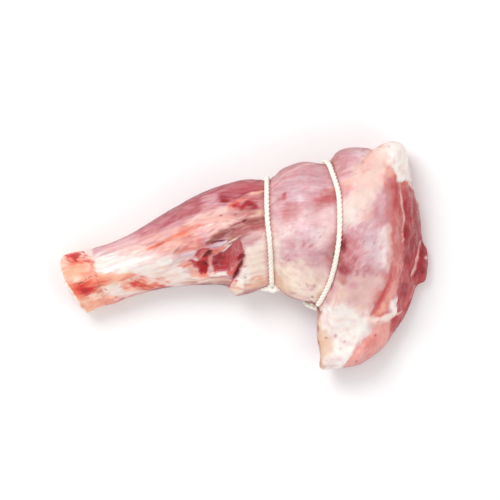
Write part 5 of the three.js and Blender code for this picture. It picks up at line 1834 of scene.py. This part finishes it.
def bone_material(groups):
    material, tree, sockets = surface(
        "sawn_raw_bone",
        Subsurface_Weight=0.12,
        Subsurface_Radius=(1.0, 0.45, 0.3),
        Subsurface_Scale=1.1 * MM,
        Coat_Roughness=0.15,
    )
    place = millimetres(tree)
    sawn = attribute(tree, "sawn")
    mottle = placed(tree, groups["mottle"], Place=place, Size=4.0)
    blotch, speck = mottle["Blotch"], mottle["Speck"]
    scratches = placed(tree, groups["fibre"], Place=place, Cell=(7, 0.6, 0.6))["Fibre"]
    pores = cell_edges(tree, place, 0.75)
    deep = product(tree, ramp(tree, pores, 0.08, 0.3), sawn)
    colour = shaded(tree, attribute(tree, "tissue", "Color"), blotch, 0.93, 1.05)
    colour = shaded(tree, colour, scratches, 0.95, 1.04)
    feed(tree, sockets["Base Color"], blended(tree, colour, colour_of("wine"), product(tree, deep, 0.6)))
    feed(tree, sockets["Roughness"], sum_of(tree, (speck, 0.25), (sawn, 0.1), (1.0, 0.25)))
    feed(tree, sockets["Coat Weight"], ramp(tree, blotch, 0.4, 0.6, 0.0, 0.4))
    height = sum_of(tree, (scratches, 0.3), (blotch, 0.5), (speck, 0.15), (deep, -1.2))
    bumped(tree, sockets, height, 0.5, 0.7)
    return material


CLEAN_COTTON = (1.0, 0.95, 0.86, 1)
STAINED_COTTON = (0.96, 0.84, 0.70, 1)


def twine_material(groups):
    """Undyed cotton, with pink stains where it has drawn juice from the meat."""
    fuzz = {"Sheen_Weight": 0.25, "Sheen_Roughness": 0.4}
    material, tree, sockets = surface("cotton_twine", Roughness=0.85, **fuzz)
    place = millimetres(tree)
    threads = placed(tree, groups["fibre"], Place=place, Cell=(0.35, 0.35, 0.35))["Fibre"]
    blotch = placed(tree, groups["mottle"], Place=place, Size=6.0)["Blotch"]
    colour = blended(tree, CLEAN_COTTON, STAINED_COTTON, ramp(tree, blotch, 0.5, 0.75, 0.0, 0.35))
    feed(tree, sockets["Base Color"], shaded(tree, colour, threads, 0.94, 1.02))
    bumped(tree, sockets, threads, 0.16, 0.8)
    return material


# ---------------------------------------------------------------- floor, light and camera

# the width that the camera sees at the height of the outline, and the middle of what it sees
PHOTO_FIELD = 300.0
FIELD_MIDDLE = (3.24, 3.3)
OUTLINE_Z = 20.0
LENS = 400.0
SENSOR = 36.0
FAR_CLIP = 30.0
# the floor lies a hair below the shank, so that the two never share a plane
FLOOR_HALF, FLOOR_Z = 3000.0, -0.05
SKY_STRENGTH = 0.80
# name, place in metres, width in metres and power in watts
LAMPS = [
    ("softbox", (-0.75, 0.9, 1.5), 0.9, 16.0),
    ("fill", (1.1, -0.9, 1.3), 1.1, 5.0),
]


def make_floor():
    corners = [(-FLOOR_HALF, -FLOOR_HALF, 0), (FLOOR_HALF, -FLOOR_HALF, 0)]
    corners += [(FLOOR_HALF, FLOOR_HALF, 0), (-FLOOR_HALF, FLOOR_HALF, 0)]
    floor = mesh_object("floor", corners, [(0, 1, 2, 3)])
    floor.data.materials.append(surface("pale_floor", Base_Color=(0.93, 0.93, 0.93, 1), Roughness=0.9)[0])
    floor.location.z = FLOOR_Z * MM
    return floor


def make_light():
    world = bpy.data.worlds.new("soft_studio")
    bpy.context.scene.world = world
    world.use_nodes = True
    sky = world.node_tree.nodes["Background"].inputs
    sky["Color"].default_value = (1, 1, 1, 1)
    sky["Strength"].default_value = SKY_STRENGTH
    for name, place, size, power in LAMPS:
        data = bpy.data.lights.new(name, "AREA")
        data.size = size
        data.energy = power
        lamp = in_scene(name, data)
        lamp.location = place
        lamp.rotation_euler = (-Vector(place)).to_track_quat("-Z", "Y").to_euler()


def make_camera():
    """A long lens straight above the shank."""
    data = bpy.data.cameras.new("photo_view")
    data.lens = LENS
    data.sensor_width = SENSOR
    data.clip_end = FAR_CLIP
    camera = in_scene("photo_view", data)
    distance = PHOTO_FIELD * LENS / SENSOR
    camera.location = (FIELD_MIDDLE[0] * MM, FIELD_MIDDLE[1] * MM, (distance + OUTLINE_Z) * MM)
    bpy.context.scene.camera = camera


# ---------------------------------------------------------------- the whole shank


def dress(obj, slot, *nodes):
    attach(obj, "root")
    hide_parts(*nodes)


def main():
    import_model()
    bpy.context.scene.view_settings.view_transform = "Standard"
    make_camera()
    make_light()
    make_floor()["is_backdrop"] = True
    groups = {"fibre": fibre_group(), "marbling": marbling_group(), "mottle": mottle_group()}
    meat = make_meat()
    meat.data.materials.append(meat_material(groups))
    dress(meat, "meat", "meat")
    bone = make_bone()
    bone.data.materials.append(bone_material(groups))
    dress(bone, "bone", "bone")
    tree = twine_tree(twine_material(groups))
    for name, loop in LOOPS.items():
        kx, half_width = TIES[name]["knot"]
        knot = knot_line(kx, half_width, loop[loop[:, 1].argmin()], TIES[name]["droop"])
        dress(tie_mesh("tied_" + name, tree, loop, knot), "twine", name)
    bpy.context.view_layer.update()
    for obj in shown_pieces():
        triangles = sum(len(p.vertices) - 2 for p in obj.data.polygons)
        print(obj.name, triangles, "triangles")


main()
